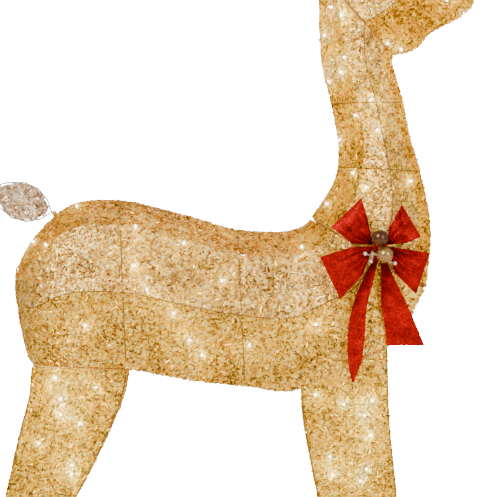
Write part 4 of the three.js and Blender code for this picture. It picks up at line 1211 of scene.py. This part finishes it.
class Torso:
    """The body section, from the rump to the neck seam."""

    spots: tuple[Shares, ...] = (
        (-245, 750), (-315, 695), (-295, 690), (-150, 715), (-75, 690), (-150, 655), (-130, 620),
        (-10, 635), (-90, 580), (-230, 560), (-65, 540), (-45, 515), (30, 530), (140, 565),
        (115, 685))
    pin_half = 8 * MM
    pin = turned((0, 0), (0, 2.9), (2, 2.9), (2.2, 1.8), (14, 1.8), (14.2, 2.9), (16, 2.9), (16, 0))

    def build(self, deer: Deer) -> None:
        """Builds its wires, covers, threads and bulbs.

        Args:
            deer: The part.
        """
        rng = np.random.default_rng(11)
        section = Section(deer.placed(deer.torso))
        back = section.panel(BACK, [0, 0], TIGHT_SAG)
        # The lower strip of each flank and the belly take the darker lower mesh, as painted shade
        # for the faces that slant downwards.
        right = section.panel(RIGHT_FLANK, [1, 2])
        left = section.panel(LEFT_FLANK, [2, 1])
        belly = section.panel(UNDERSIDE, [2])
        rump = cap(section.rings[0], np.array([-1, 0, 0.1]))
        for side in Side:
            deer.hang_bulbs(f"torso_bulbs_{side.name.lower()}", "torso", [back, right, left],
                            self.spots, side, side is Side.LEFT, rng)
        stock = Stock()
        section.wires(stock, [0, 2, 4, 5, 7, 9])
        seam_cords(stock, section, SEAMS, [3, 5])
        self.sleeves(stock, deer, section.rings[-1])
        made = stock.build("torso_wires", [deer.palette.gold_wire, deer.palette.seam_wire])
        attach(made, "torso")
        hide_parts("torso_frame")
        panels = {"back": (back, "gold_fabric"), "right": (right, "champagne_fabric"),
                  "left": (left, "champagne_fabric"), "belly": (belly, "gold_fabric"),
                  "rump": (rump, "gold_fabric")}
        deer.dress("torso", "torso", panels, [Cloth.BAND, Cloth.FLANK, Cloth.LOWER], 100,
                   "torso_wires")

    def sleeves(self, stock: Stock, deer: Deer, ring: Array) -> None:
        """Adds the sleeves of the neck with their cross wires, and the tail's post and pin."""
        for a, b, share in NECK_PRONGS:
            edge = between(ring[a], ring[b], share)
            deer.prong.sleeve(stock, edge * [1, 0, 1], DOWN)
            stock.tube(np.linspace(edge, edge * [1, -1, 1], 8), CROSS_WIRE)
        root = deer.placed(deer.tail_root())
        pin = root + [0, 0, TAIL_POST * MM]
        stock.tube(np.linspace(root, pin, 6), CROSS_WIRE)
        stock.lathe(pin - [0, self.pin_half, 0], np.array([0, 1, 0]), self.pin)


class Neck:
    """The neck section."""

    spots: tuple[Shares, ...] = (
        (165, 1075), (180, 1060), (155, 1025), (185, 990), (180, 970), (160, 955), (205, 900),
        (170, 860), (230, 925), (240, 875), (200, 805), (160, 755), (220, 780), (290, 795))

    def build(self, deer: Deer) -> None:
        """Builds its wires, prongs, covers, threads and bulbs.

        Args:
            deer: The part.
        """
        rng = np.random.default_rng(12)
        section = Section(deer.placed(deer.neck))
        rear = section.panel(BACK, [0, 0], TIGHT_SAG)
        right = section.panel(RIGHT_FLANK, [1, 1])
        left = section.panel(LEFT_FLANK, [1, 1])
        front = section.panel(UNDERSIDE, [0], TIGHT_SAG)
        right.looks[-4:] = 0
        left.looks[:4] = 0
        for side in Side:
            deer.hang_bulbs(f"neck_bulbs_{side.name.lower()}", "neck_and_head",
                            [rear, right, left], self.spots, side, side is Side.LEFT, rng)
        stock = Stock()
        section.wires(stock, [0, 2, 4, 6])
        seam_cords(stock, section, SEAMS, [2, 4])
        ring = section.rings[0]
        for a, b, share in NECK_PRONGS:
            edge = between(ring[a], ring[b], share)
            stock.tube(np.linspace(edge, edge * [1, -1, 1], 8), CROSS_WIRE)
            deer.prong.peg(stock, edge * [1, 0, 1], DOWN)
        made = stock.build("neck_wires", [deer.palette.gold_wire, deer.palette.seam_wire])
        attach(made, "neck_and_head")
        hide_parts("neck_frame")
        panels = {"rear": (rear, "gold_fabric"), "right": (right, "champagne_fabric"),
                  "left": (left, "champagne_fabric"), "front": (front, "gold_fabric")}
        deer.dress("neck", "neck_and_head", panels, [Cloth.BAND, Cloth.FLANK], 200, "neck_wires")


class Head:
    """The head: a long face over a gold jaw."""

    spots: tuple[Shares, ...] = (
        (275, 1005), (255, 1015), (235, 1110), (300, 1120), (350, 1085), (390, 1050))
    face = (Column.MIDDLE_LEFT, *BACK, Column.MIDDLE)
    jaw = (Column.MIDDLE, *UNDERSIDE, Column.MIDDLE_LEFT)
    socket = turned((-10, 0), (-10, 2.8), (19, 2.8), (19.2, 4.2), (18.5, 4.4), (-12, 4.4),
                    (-12.8, 3.8), (-12.8, 0))

    def build(self, deer: Deer) -> None:
        """Builds its wires, covers, threads and bulbs.

        Args:
            deer: The part.
        """
        rng = np.random.default_rng(13)
        section = Section(deer.placed(deer.head), 4 * MM)
        face = section.panel(self.face, [1, 1, 1, 1], TIGHT_SAG)
        jaw = section.panel(self.jaw, [0, 0, 0], TIGHT_SAG)
        nose = cap(section.rings[-1], np.array([1, 0, -0.05]), look=1)
        for side in Side:
            deer.hang_bulbs(f"head_bulbs_{side.name.lower()}", "neck_and_head", [face, jaw],
                            self.spots, side, side is Side.LEFT, rng)
        stock = Stock()
        section.wires(stock, [0, 2, 3, 5])
        seam_cords(stock, section, SEAMS, [])
        for foot in deer.antler_feet().values():
            stock.lathe(deer.placed(foot), UP, self.socket, 20)
        made = stock.build("head_wires", [deer.palette.gold_wire, deer.palette.seam_wire])
        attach(made, "neck_and_head")
        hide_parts("head_frame")
        panels = {"face": (face, "champagne_fabric"), "jaw": (jaw, "gold_fabric"),
                  "nose": (nose, "champagne_fabric")}
        deer.dress("head", "neck_and_head", panels, [Cloth.BAND, Cloth.FLANK], 300, "head_wires",
                   4.0 * MM)


@dataclass(frozen=True)
class LegShape:
    """A leg's outline as shares of the body's length: rear, front, level and thickness."""

    rows: tuple[tuple[float, float, float, float], ...]
    foot: Shares
    spots: tuple[Shares, ...]


HIND = LegShape(
    ((-0.457, -0.238, 1, 1), (-0.463, -0.248, 0.92, 0.98), (-0.482, -0.277, 0.82, 0.92),
     (-0.506, -0.326, 0.68, 0.8), (-0.527, -0.396, 0.49, 0.62), (-0.502, -0.418, 0.36, 0.5),
     (-0.482, -0.409, 0.18, 0.46)),
    (-0.485, -0.393),
    ((-275, 480), (-270, 445), (-270, 420), (-210, 460), (-240, 405), (-305, 370), (-250, 340),
     (-250, 322), (-305, 250), (-300, 165), (-295, 80)))
FRONT = LegShape(
    ((0.201, 0.396, 1, 1), (0.206, 0.402, 0.88, 0.98), (0.221, 0.41, 0.76, 0.92),
     (0.241, 0.419, 0.62, 0.82), (0.265, 0.412, 0.48, 0.66), (0.293, 0.398, 0.36, 0.54),
     (0.311, 0.392, 0.18, 0.48)),
    (0.308, 0.402),
    ((135, 450), (185, 435), (225, 440), (215, 415), (225, 385), (160, 350), (165, 322),
     (220, 335), (210, 312), (205, 240), (215, 160), (222, 80)))


@dataclass(frozen=True)
class Leg:
    """One leg, pulled over two prongs under the body."""

    pair: str
    side: Side
    shape: LegShape
    skin_gap: float = 6.0

    @property
    def name(self) -> str:
        """The start of its pieces' names."""
        return f"leg_{self.pair}_{self.side.name.lower()}"

    def rings(self, deer: Deer) -> Array:
        """Returns its rings of four corners, from the body down."""
        s = deer.size
        low = deer.torso[:, Column.LOWER]
        start, end = (share * s.length for share in self.shape.rows[0][:2])
        rear, front = (np.interp(x, low[:, 0], low[:, 2]) for x in (start, end))
        drop = self.skin_gap * math.hypot(1, (front - rear) / (end - start))
        top = np.array([rear - drop, front - drop])
        made = []
        for a, b, level, thick in (*self.shape.rows, (*self.shape.foot, 0, 0)):
            if level:
                z = top if level == 1 else np.full(2, level * top.min())
            else:
                z = np.full(2, s.foot_ring)
            out = s.leg_foot_out + (s.leg_top_out - s.leg_foot_out) * level
            half = thick * s.leg_half if level else s.foot_half
            outer, inner = self.side * (out + half), self.side * (out - half)
            back, fore = a * s.length, b * s.length
            made.append([[back, outer, z[0]], [fore, outer, z[1]],
                         [fore, inner, z[1]], [back, inner, z[0]]])
        return deer.placed(np.array(made))

    def cross_wires(self, ring: Array) -> list[tuple[Array, Array]]:
        """Returns the ends of the two wires over its top, one for each prong."""
        return [(between(ring[0], ring[1], share), between(ring[3], ring[2], share))
                for share in LEG_PRONG_SHARES]

    def build(self, deer: Deer, seed: int) -> None:
        """Builds its wires, prongs, cover, threads and bulbs.

        Args:
            deer: The part.
            seed: The seed of its scatter.
        """
        rng = np.random.default_rng(seed)
        section = Section(self.rings(deer))
        skin = section.panel((3, 0, 1, 2, 3), [0, 0, 0, 0], 1.6 * MM)
        for face, side in (("outer", self.side), ("inner", Side(-self.side))):
            deer.hang_bulbs(f"{self.name}_bulbs_{face}", self.name, [skin], self.shape.spots,
                            side, Side.LEFT in (self.side, side), rng)
        stock = Stock()
        section.wires(stock, [0, 4, 7])
        seam_cords(stock, section, (0, 1), [4])
        ring = section.rings[0]
        for a, b in self.cross_wires(ring):
            stock.tube(np.linspace(a, b, 6), CROSS_WIRE)
            deer.prong.peg(stock, (a + b) / 2, UP)
        made = stock.build(f"{self.name}_wires", [deer.palette.gold_wire, deer.palette.seam_wire])
        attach(made, self.name)
        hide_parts(f"{self.name}_frame")
        deer.dress(self.name, self.name, {"": (skin, "leg_fabric")}, [Cloth.LEG], seed + 400,
                   f"{self.name}_wires")
        self.torso_sleeves(deer, ring)

    def torso_sleeves(self, deer: Deer, ring: Array) -> None:
        """Adds the torso's sleeves for the leg's prongs, with the wire that carries them."""
        stock = Stock()
        rise = np.array([0, 0, self.skin_gap * MM])
        for a, b in self.cross_wires(ring):
            middle = (a + b) / 2
            deer.prong.sleeve(stock, middle + rise * 0.7, UP)
            end = middle + rise + [0, self.side * 4.5 * MM, 0]
            stock.tube(np.linspace(a + rise, end, 5), CROSS_WIRE)
        made = stock.build(f"torso_sleeves_{self.pair}_{self.side.name.lower()}",
                           [deer.palette.gold_wire])
        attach(made, "torso")


@dataclass(frozen=True)
class Leaf:
    """A leaf of glitter mesh in a wire loop: an ear or the tail."""

    name: str
    body: str
    length: float
    width: float
    seed: int
    dome: float = 3.0
    inset: float = 1.9

    def build(self, deer: Deer, root: Array, along: Array, across: Array) -> None:
        """Builds the fabric inside its loop.

        Args:
            deer: The part.
            root: Where the leaf starts, in metres.
            along: The way to its tip.
            across: The way across it.
        """
        t = np.linspace(0.035, 0.985, 24)
        half = self.width / 2 * np.sin(math.pi * t**0.85) ** 0.9 - self.inset
        half = np.maximum(0.6, half) * MM
        x = (self.inset * 1.6 + t * (self.length - 3.6 * self.inset)) * MM
        v = np.linspace(-1, 1, 13)
        out = np.cross(along, across)
        rise = self.dome * MM * np.sin(math.pi * t)[:, None] * (1 - v**2)
        points = (root + x[:, None, None] * along + (half[:, None] * v)[..., None] * across
                  + rise[..., None] * out)
        panel = Panel(points, np.broadcast_to(out, points.shape).copy(), np.zeros(12, int))
        panel_back = Panel(points, -panel.normals, panel.looks)
        node = self.name + "_cover"
        cover(self.name + "_fabric", self.body, panel, [Cloth.LEAF], deer.lamps, deer.palette,
              [node], self.name + "_frame", self.seed)
        threads(self.name + "_threads", self.body, [panel, panel_back], [Cloth.LEAF], deer.lamps,
                deer.palette, self.seed + 1, 4.2 * MM, 5 * MM)


@dataclass(frozen=True)
class Antler:
    """One antler: a beam and three tines wound with gold mesh."""

    side: Side
    height: float = 290.0
    spread: float = 157.0
    sweep: float = 62.0
    beam_radius: float = 9.0
    beam_taper: float = 4.2
    tine_radius: float = 6.5
    foot_rise: float = 0.6 * 32 + 0.3

    @property
    def name(self) -> str:
        """The start of its pieces' names."""
        return f"antler_{self.side.name.lower()}"

    def lines(self, deer: Deer) -> list[tuple[Array, Array]]:
        """Returns the beam's and the tines' middle lines with their radii, in metres."""
        base = deer.antler_feet()[self.side] + [0, 0, self.foot_rise]

        def place(back: float, out: float, up: float) -> list[float]:
            """Returns a point at shares of the sweep, spread and height."""
            y = base[1] + self.side * out * (self.spread - abs(base[1]))
            return [base[0] - back * self.sweep, y, base[2] + up * self.height]

        shares = ((0, 0, 0), (0.3, 0.2, 0.22), (0.85, 0.5, 0.46), (0.9, 0.8, 0.74), (0.2, 1, 1))
        beam = np.array([place(*p) for p in shares])
        tips = [(1, place(-0.75, 0.36, 0.44)), (2, place(-0.2, 0.72, 0.68)),
                (3, place(1.75, 0.86, 0.95))]
        main_line = flowing_line(deer.placed(beam), 6 * MM)
        taper = np.linspace(self.beam_radius, self.beam_radius - self.beam_taper, len(main_line))
        made = [(main_line, taper * MM)]
        for start, tip in tips:
            bend = between(beam[start], np.array(tip), 0.55) + [0, self.side * 4, -4]
            line = flowing_line(deer.placed(np.array([beam[start], bend, tip])), 6 * MM)
            taper = np.linspace(self.tine_radius, 0.6 * self.tine_radius, len(line))
            made.append((line, taper * MM))
        return made

    def build(self, deer: Deer, seed: int) -> None:
        """Builds the wound mesh and its threads; its wires are the part's own.

        Args:
            deer: The part.
            seed: The seed of its scatter.
        """
        panels = []
        for line, radii in self.lines(deer):
            turns = np.arange(len(line)) * 0.9
            rings = ring_sweep(line, radii + 0.5 * MM * np.sin(turns), 14)
            rings = np.concatenate([rings, between(rings[:, :1], rings[:, -1:], 0.03)], axis=1)
            rings[-1] = line[-1] + (rings[-1] - line[-1]) * 0.35
            normals = unit(rings - line[:, None])
            panels.append(Panel(rings, normals, np.zeros(14, int)))
        area = sum(panel.area for panel in panels)
        stock = Stock()
        for panel in panels:
            points = panel.points.reshape(-1, 3)
            stock.add(points, grid_faces(*panel.points.shape[:2]), glow=deer.lamps.glow(points))
        made = stock.build(self.name + "_fabric", [deer.palette.cloth[Cloth.BAND]])
        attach(made, self.name)
        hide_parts(self.name + "_cover")
        self.name + "_frame"
        threads(self.name + "_threads", self.name, panels, [Cloth.BAND], deer.lamps, deer.palette,
                seed, 4 * MM, 6 * MM)


@dataclass(frozen=True)
class Loop:
    """A bow loop: a ribbon that goes out from the knot, folds, and comes back."""

    name: str
    rows: tuple[Row, ...]

    def build(self, deer: Deer, knot: Array) -> None:
        """Builds the folded ribbon.

        Args:
            deer: The part.
            knot: The knot's place, in metres.
        """
        low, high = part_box(self.name)
        middle, bulge = (low.y + high.y) / 2, (high.y - low.y) / 2
        t = np.linspace(0, 2, 49)
        reach = (1 - np.cos(math.pi * t)) / 2
        rows = np.array(self.rows) * MM
        at = np.linspace(0, 1, len(rows))
        v = np.linspace(0, 1, 13)[None, :]
        edge = np.stack([[np.interp(reach, at, rows[:, k, c]) for c in (0, 1)] for k in (0, 1)])
        flat = between(edge[0].T[:, None], edge[1].T[:, None], v[..., None])
        reach = reach[:, None]
        pleats = np.sin(5 * math.pi * v + 1.5 * reach) * (1 - 0.7 * reach)
        ripple = 2.4 * MM * pleats * np.sin(math.pi * np.clip(reach, 0, 1))
        puff = 0.9 * np.sin(math.pi * t)[:, None] * (0.75 + 0.25 * np.sin(math.pi * v))
        y = middle - bulge * puff - ripple
        y[[0, -1]] = middle
        points = np.stack([knot[0] + flat[..., 0], y, knot[2] + flat[..., 1]], -1)
        # Painted shade: darker along the pleats and towards the knot.
        crease = (0.5 + 0.5 * np.sin(9 * math.pi * v + 1.5 * reach)) * (1 - reach) ** 0.6
        crease = crease + 0.5 * (1 - reach) ** 4
        ribbon(self.name, points, deer, crease)


@dataclass(frozen=True)
class Tail:
    """A hanging end of the bow."""

    name: str
    rows: tuple[tuple[float, float, float], ...]

    def build(self, deer: Deer, knot: Array) -> None:
        """Builds the hanging ribbon.

        Args:
            deer: The part.
            knot: The knot's place, in metres.
        """
        low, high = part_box(self.name)
        middle = (low.y + high.y) / 2
        rows = np.array(self.rows)
        line = flowing(np.array([[[a, 0, z], [b, 0, z]] for a, b, z in rows]) * MM, 5 * MM)
        v = np.linspace(0, 1, 9)[None, :]
        points = between(line[:, :1], line[:, 1:], v[..., None])
        run = np.linspace(0, 1, len(line))[:, None]
        wave = 1.7 * np.sin(5.5 * run + 1.1 * v) + 1.0 * np.sin(math.pi * v)
        wave = wave * MM * np.minimum(1, run * 4)
        x, z = np.full(wave.shape, knot[0]), np.full(wave.shape, knot[2])
        points = points + np.stack([x, middle - wave, z], -1)
        # Painted shade: darker along the waves and at the top by the knot.
        crease = np.maximum(0, np.sin(4.5 * run + 2.2 * v)) * 0.5 + 0.6 * (1 - run) ** 6
        ribbon(self.name, points, deer, crease)


def ribbon(node: str, points: Array, deer: Deer, crease: Array) -> None:
    """Makes one ribbon piece of the bow.

    Args:
        node: The frame's piece that it stands for.
        points: Its grid, in metres.
        deer: The part.
        crease: How much painted shade each point gets, deepest in the folds and by the knot.
    """
    panel = Panel(points, np.zeros_like(points), np.zeros(points.shape[1] - 1, int))
    stock = Stock()
    stock.add(points.reshape(-1, 3), grid_faces(*points.shape[:2]), fold=crease.ravel())
    made = stock.build(node + "_ribbon", [deer.palette.ribbon])
    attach(made, "neck_and_head")
    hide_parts(node)
    width, length = panel.flat
    round(max(0.31 * width * length, panel.area), 5)


class Bow:
    """The bow, its knot, berries and beads."""

    loops = (
        Loop("bow_loop_upper_rear",
             (((-12.3, 1), (-12.3, 6)), ((-44, 3), (-20, 44)), ((-78, 30), (-30, 76)))),
        Loop("bow_loop_upper_front",
             (((12.3, 1), (12.3, 6)), ((42, 4), (15, 28)), ((66, 14), (35, 66)))),
        Loop("bow_loop_lower_rear",
             (((-12.3, -1), (-12.3, -6)), ((-44, -2), (-29, -48)), ((-96, -18), (-64, -86)))),
        Loop("bow_loop_lower_front",
             (((12.3, -1), (12.3, -6)), ((46, -6), (24, -44)), ((80, -12), (58, -78)))))
    tails = (
        Tail("bow_tail_rear", ((-6, -1, -13.5), (-26, -9, -50), (-45, -21, -100),
                               (-52, -25, -152), (-51, -30, -186), (-45, -42, -218))),
        Tail("bow_tail_front", ((1, 6, -13.5), (2, 22, -50), (2, 42, -90), (8, 60, -130),
                                (11, 72, -160))))
    berry_radius = 13.5 * MM
    ferrule = turned((0, 4.4), (3.2, 4.6), (3.6, 3.4), (4.2, 1.5), (5, 0))
    bead_radius = 3.6

    def build(self, deer: Deer) -> None:
        """Builds every piece of the bow.

        Args:
            deer: The part.
        """
        low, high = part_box("bow_knot")
        seam, above = deer.neck[0][Column.MIDDLE], deer.neck[1][Column.MIDDLE]
        tie = deer.placed(between(seam, above, 0.3))
        centre = np.array([tie[0], (low.y + high.y) / 2, tie[2]])
        for piece in (*self.loops, *self.tails):
            piece.build(deer, centre)
        self.knot(deer, np.array((low + high) / 2), np.array(high - low) / 2)
        for node, at, finish in (("bow_berry_bronze", (-1, 12), deer.palette.bronze_ball),
                                 ("bow_berry_champagne", (7, -15), deer.palette.champagne_ball)):
            self.berry(deer, node, centre, at, finish)
        self.twig(deer, centre)

    def knot(self, deer: Deer, centre: Array, half: Array) -> None:
        """Builds the pleated wrap in the middle."""
        rows, sides = 17, 32
        s = np.linspace(-1, 1, rows)[:, None]
        t = np.linspace(0, 2 * math.pi, sides + 1)[None, :-1]
        crest = np.cos(3.5 * math.pi * s + 0.6 * np.sin(t))
        pleat = 1 - 0.08 * crest
        fall = np.sqrt(np.clip(1 - 0.55 * s**4, 0, 1)) * pleat * 0.95
        round_y = np.sign(np.cos(t)) * np.abs(np.cos(t)) ** 0.8
        round_z = np.sign(np.sin(t)) * np.abs(np.sin(t)) ** 0.8
        x, y, z = s * half[0] + 0 * t, fall * round_y * half[1], fall * round_z * half[2]
        points = np.stack([x, y, z], -1) + centre
        stock = Stock()
        # Painted shade: darker in the pleat valleys, darkest on the end caps under the loops.
        folds = 0.4 + 0.4 * crest
        stock.add(points.reshape(-1, 3), grid_faces(rows, sides, closed=True), fold=folds.ravel())
        fan = np.array([[k, (k + 1) % sides, sides] for k in range(sides)])
        for ring in (points[0], points[-1]):
            closed = np.concatenate([ring, ring.mean(0, keepdims=True)])
            stock.add(closed, fan, fold=np.ones(sides + 1))
        made = stock.build("bow_knot_wrap", [deer.palette.ribbon])
        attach(made, "neck_and_head")
        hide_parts("bow_knot")

    def berry(self, deer: Deer, node: str, centre: Array, at: Shares,
              finish: bpy.types.Material) -> None:
        """Builds one ornament ball with its ferrule and stem."""
        radius = self.berry_radius
        low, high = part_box(node)
        ball = np.array([centre[0] + at[0] * MM, low.y + radius, centre[2] + at[1] * MM])
        root = np.array([centre[0] - 2 * MM, high.y, centre[2]])
        stock = Stock()
        stock.ball(ball, radius, sides=40)
        way = unit(root - ball)
        stock.lathe(ball + way * (radius - 0.9 * MM), way, self.ferrule, 20, look=1)
        stock.tube(np.linspace(ball + way * radius, root, 8), 1.1 * MM, look=1)
        made = stock.build(node + "_ball", [finish, deer.palette.gold_wire])
        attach(made, "neck_and_head")
        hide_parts(node)

    def twig(self, deer: Deer, centre: Array) -> None:
        """Builds the twig of small silver beads."""
        low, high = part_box("bow_bead_twig")
        y = low.y + self.bead_radius * MM
        joint = np.array([centre[0] - 12 * MM, high.y - 1 * MM, centre[2] - 11 * MM])
        stock = Stock()
        for dx, dz in ((-24, -13), (-15, -25), (23, -28)):
            bead = np.array([centre[0] + dx * MM, y, centre[2] + dz * MM])
            bend = (joint + bead) / 2 + np.array([0, -2 * MM, -3 * MM])
            stock.tube(flowing_line(np.array([joint, bend, bead]), 2 * MM), 0.9 * MM, 6, look=1)
            stock.ball(bead, self.bead_radius * MM, sides=18)
        made = stock.build("bow_beads", [deer.palette.bead, deer.palette.silver_wire])
        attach(made, "neck_and_head")
        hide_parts("bow_bead_twig")


class Studio:
    """The pale floor, the soft lights and the camera."""

    sky_strength = 0.66
    backdrop_strength = 40.0
    light_colour = (1.0, 0.9, 0.76)
    light_target = (0, 0, 0.75)
    lens, sensor_width = 356, 36
    camera_place = (33 * MM, -8.0, 684 * MM)

    def build(self) -> None:
        """Builds everything round the part."""
        world = bpy.context.scene.world or bpy.data.worlds.new("studio")
        bpy.context.scene.world = world
        world.use_nodes = True
        nodes, links = world.node_tree.nodes, world.node_tree.links
        nodes.clear()
        soft, seen = nodes.new("ShaderNodeBackground"), nodes.new("ShaderNodeBackground")
        for node, colour, strength in ((soft, (1, 0.92, 0.8, 1), self.sky_strength),
                                       (seen, (1, 1, 1, 1), self.backdrop_strength)):
            node.inputs["Color"].default_value = colour
            node.inputs["Strength"].default_value = strength
        mix, path = nodes.new("ShaderNodeMixShader"), nodes.new("ShaderNodeLightPath")
        out = nodes.new("ShaderNodeOutputWorld")
        links.new(path.outputs["Is Camera Ray"], mix.inputs[0])
        links.new(soft.outputs[0], mix.inputs[1])
        links.new(seen.outputs[0], mix.inputs[2])
        links.new(mix.outputs[0], out.inputs["Surface"])
        floor = self.floor()
        lights = [self.light("key", (-1.4, -2.6, 2.4), 1.6, 112),
                  self.light("fill", (2.2, -2.2, 1.4), 1.8, 38),
                  self.light("rear", (0.2, 2.4, 2.2), 1.8, 45)]
        data = bpy.data.cameras.new("camera")
        data.lens, data.sensor_width = self.lens, self.sensor_width
        data.clip_end = 60
        camera = bpy.data.objects.new("camera", data)
        camera.location = self.camera_place
        camera.rotation_euler = (math.pi / 2, 0, 0)
        bpy.context.scene.collection.objects.link(camera)
        bpy.context.scene.camera = camera

    def floor(self) -> bpy.types.Object:
        """Returns a pale round floor."""
        graph = Graph("pale_floor")
        cloud = graph.noise(graph.place(), 3.0)
        pale = graph.ramp(cloud, [(0.3, (0.78, 0.77, 0.76)), (0.7, (0.84, 0.83, 0.82))])
        graph.shade(Base_Color=pale, Roughness=0.8)
        stock = Stock()
        stock.lathe(np.zeros(3), UP, [(0, 0), (0, 3.0)], 64)
        made = stock.build("floor", [graph.material])
        made.location.z = -0.0005
        return made

    def light(self, name: str, place: tuple[float, float, float], size: float,
              power: float) -> bpy.types.Object:
        """Returns a soft square light that faces the part."""
        data = bpy.data.lights.new(name, "AREA")
        data.size, data.energy, data.color = size, power, self.light_colour
        made = bpy.data.objects.new(name, data)
        made.location = place
        aim = Vector(self.light_target) - Vector(place)
        made.rotation_euler = aim.to_track_quat("-Z", "Y").to_euler()
        bpy.context.scene.collection.objects.link(made)
        return made


def paint_kept_nodes(palette: Palette, nodes: dict[str, bpy.types.Object]) -> None:
    """Gives the frame's own pieces that stay in view their finishes.

    Args:
        palette: The finishes.
        nodes: The part's own pieces by name.
    """
    for name, node in nodes.items():
        if node.hide_render:
            continue
        if "foot" in name:
            finish = palette.foot
        elif name == "power_inlet":
            finish = palette.inlet
        elif "light_string" in name:
            finish = palette.string
        elif name.startswith(("ear", "tail")):
            finish = palette.silver_wire
        else:
            finish = palette.gold_wire
        node.data.materials.clear()
        node.data.materials.append(finish)
        if "foot" in name or name == "power_inlet":
            soften = node.modifiers.new("soft_edges", "BEVEL")
            soften.width, soften.segments = 0.8 * MM, 2
            soften.limit_method = "ANGLE"


def leaves(deer: Deer) -> None:
    """Builds the two ears and the tail."""
    ear_root = between(deer.head[1], deer.head[2], 0.45)
    for side in Side:
        along = unit(np.array([-0.3, side * 0.88, 0.36]))
        across = unit(-np.cross(np.cross([0.25, 0, 1], along), along))
        root = deer.placed(ear_root[band_column(side)] + along * 12)
        ear = Leaf(f"ear_{side.name.lower()}", "neck_and_head", 104, 46, 600 + side)
        ear.build(deer, root, along, across)
    along = unit(np.array([-0.94, 0, 0.342]))
    across = unit(np.cross([0, 1, 0], along))
    pin = deer.tail_root() + [0, 0, TAIL_POST]
    Leaf("tail", "tail", 112, 62, 620).build(deer, deer.placed(pin + along * 4.6), along, across)


def main(nodes: dict[str, bpy.types.Object]) -> None:
    """Builds the whole scene.

    Args:
        nodes: The part's own pieces by name.
    """
    deer = Deer()
    for section in (Torso(), Neck(), Head()):
        section.build(deer)
        LOG.info("built %s", type(section).__name__)
    legs = [Leg(pair, side, shape) for pair, shape in (("hind", HIND), ("front", FRONT))
            for side in Side]
    for k, leg in enumerate(legs):
        leg.build(deer, 30 + k)
        LOG.info("built %s", leg.name)
    for side in Side:
        Antler(side).build(deer, 40 + side)
        LOG.info("built antler %s", side.name)
    leaves(deer)
    LOG.info("built the ears and the tail")
    Bow().build(deer)
    LOG.info("built the bow")
    paint_kept_nodes(deer.palette, nodes)
    Studio().build()


if __name__ == "__main__":
    logging.basicConfig(level=logging.INFO, format="%(name)s: %(message)s")
    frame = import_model()
    main(frame["nodes"])
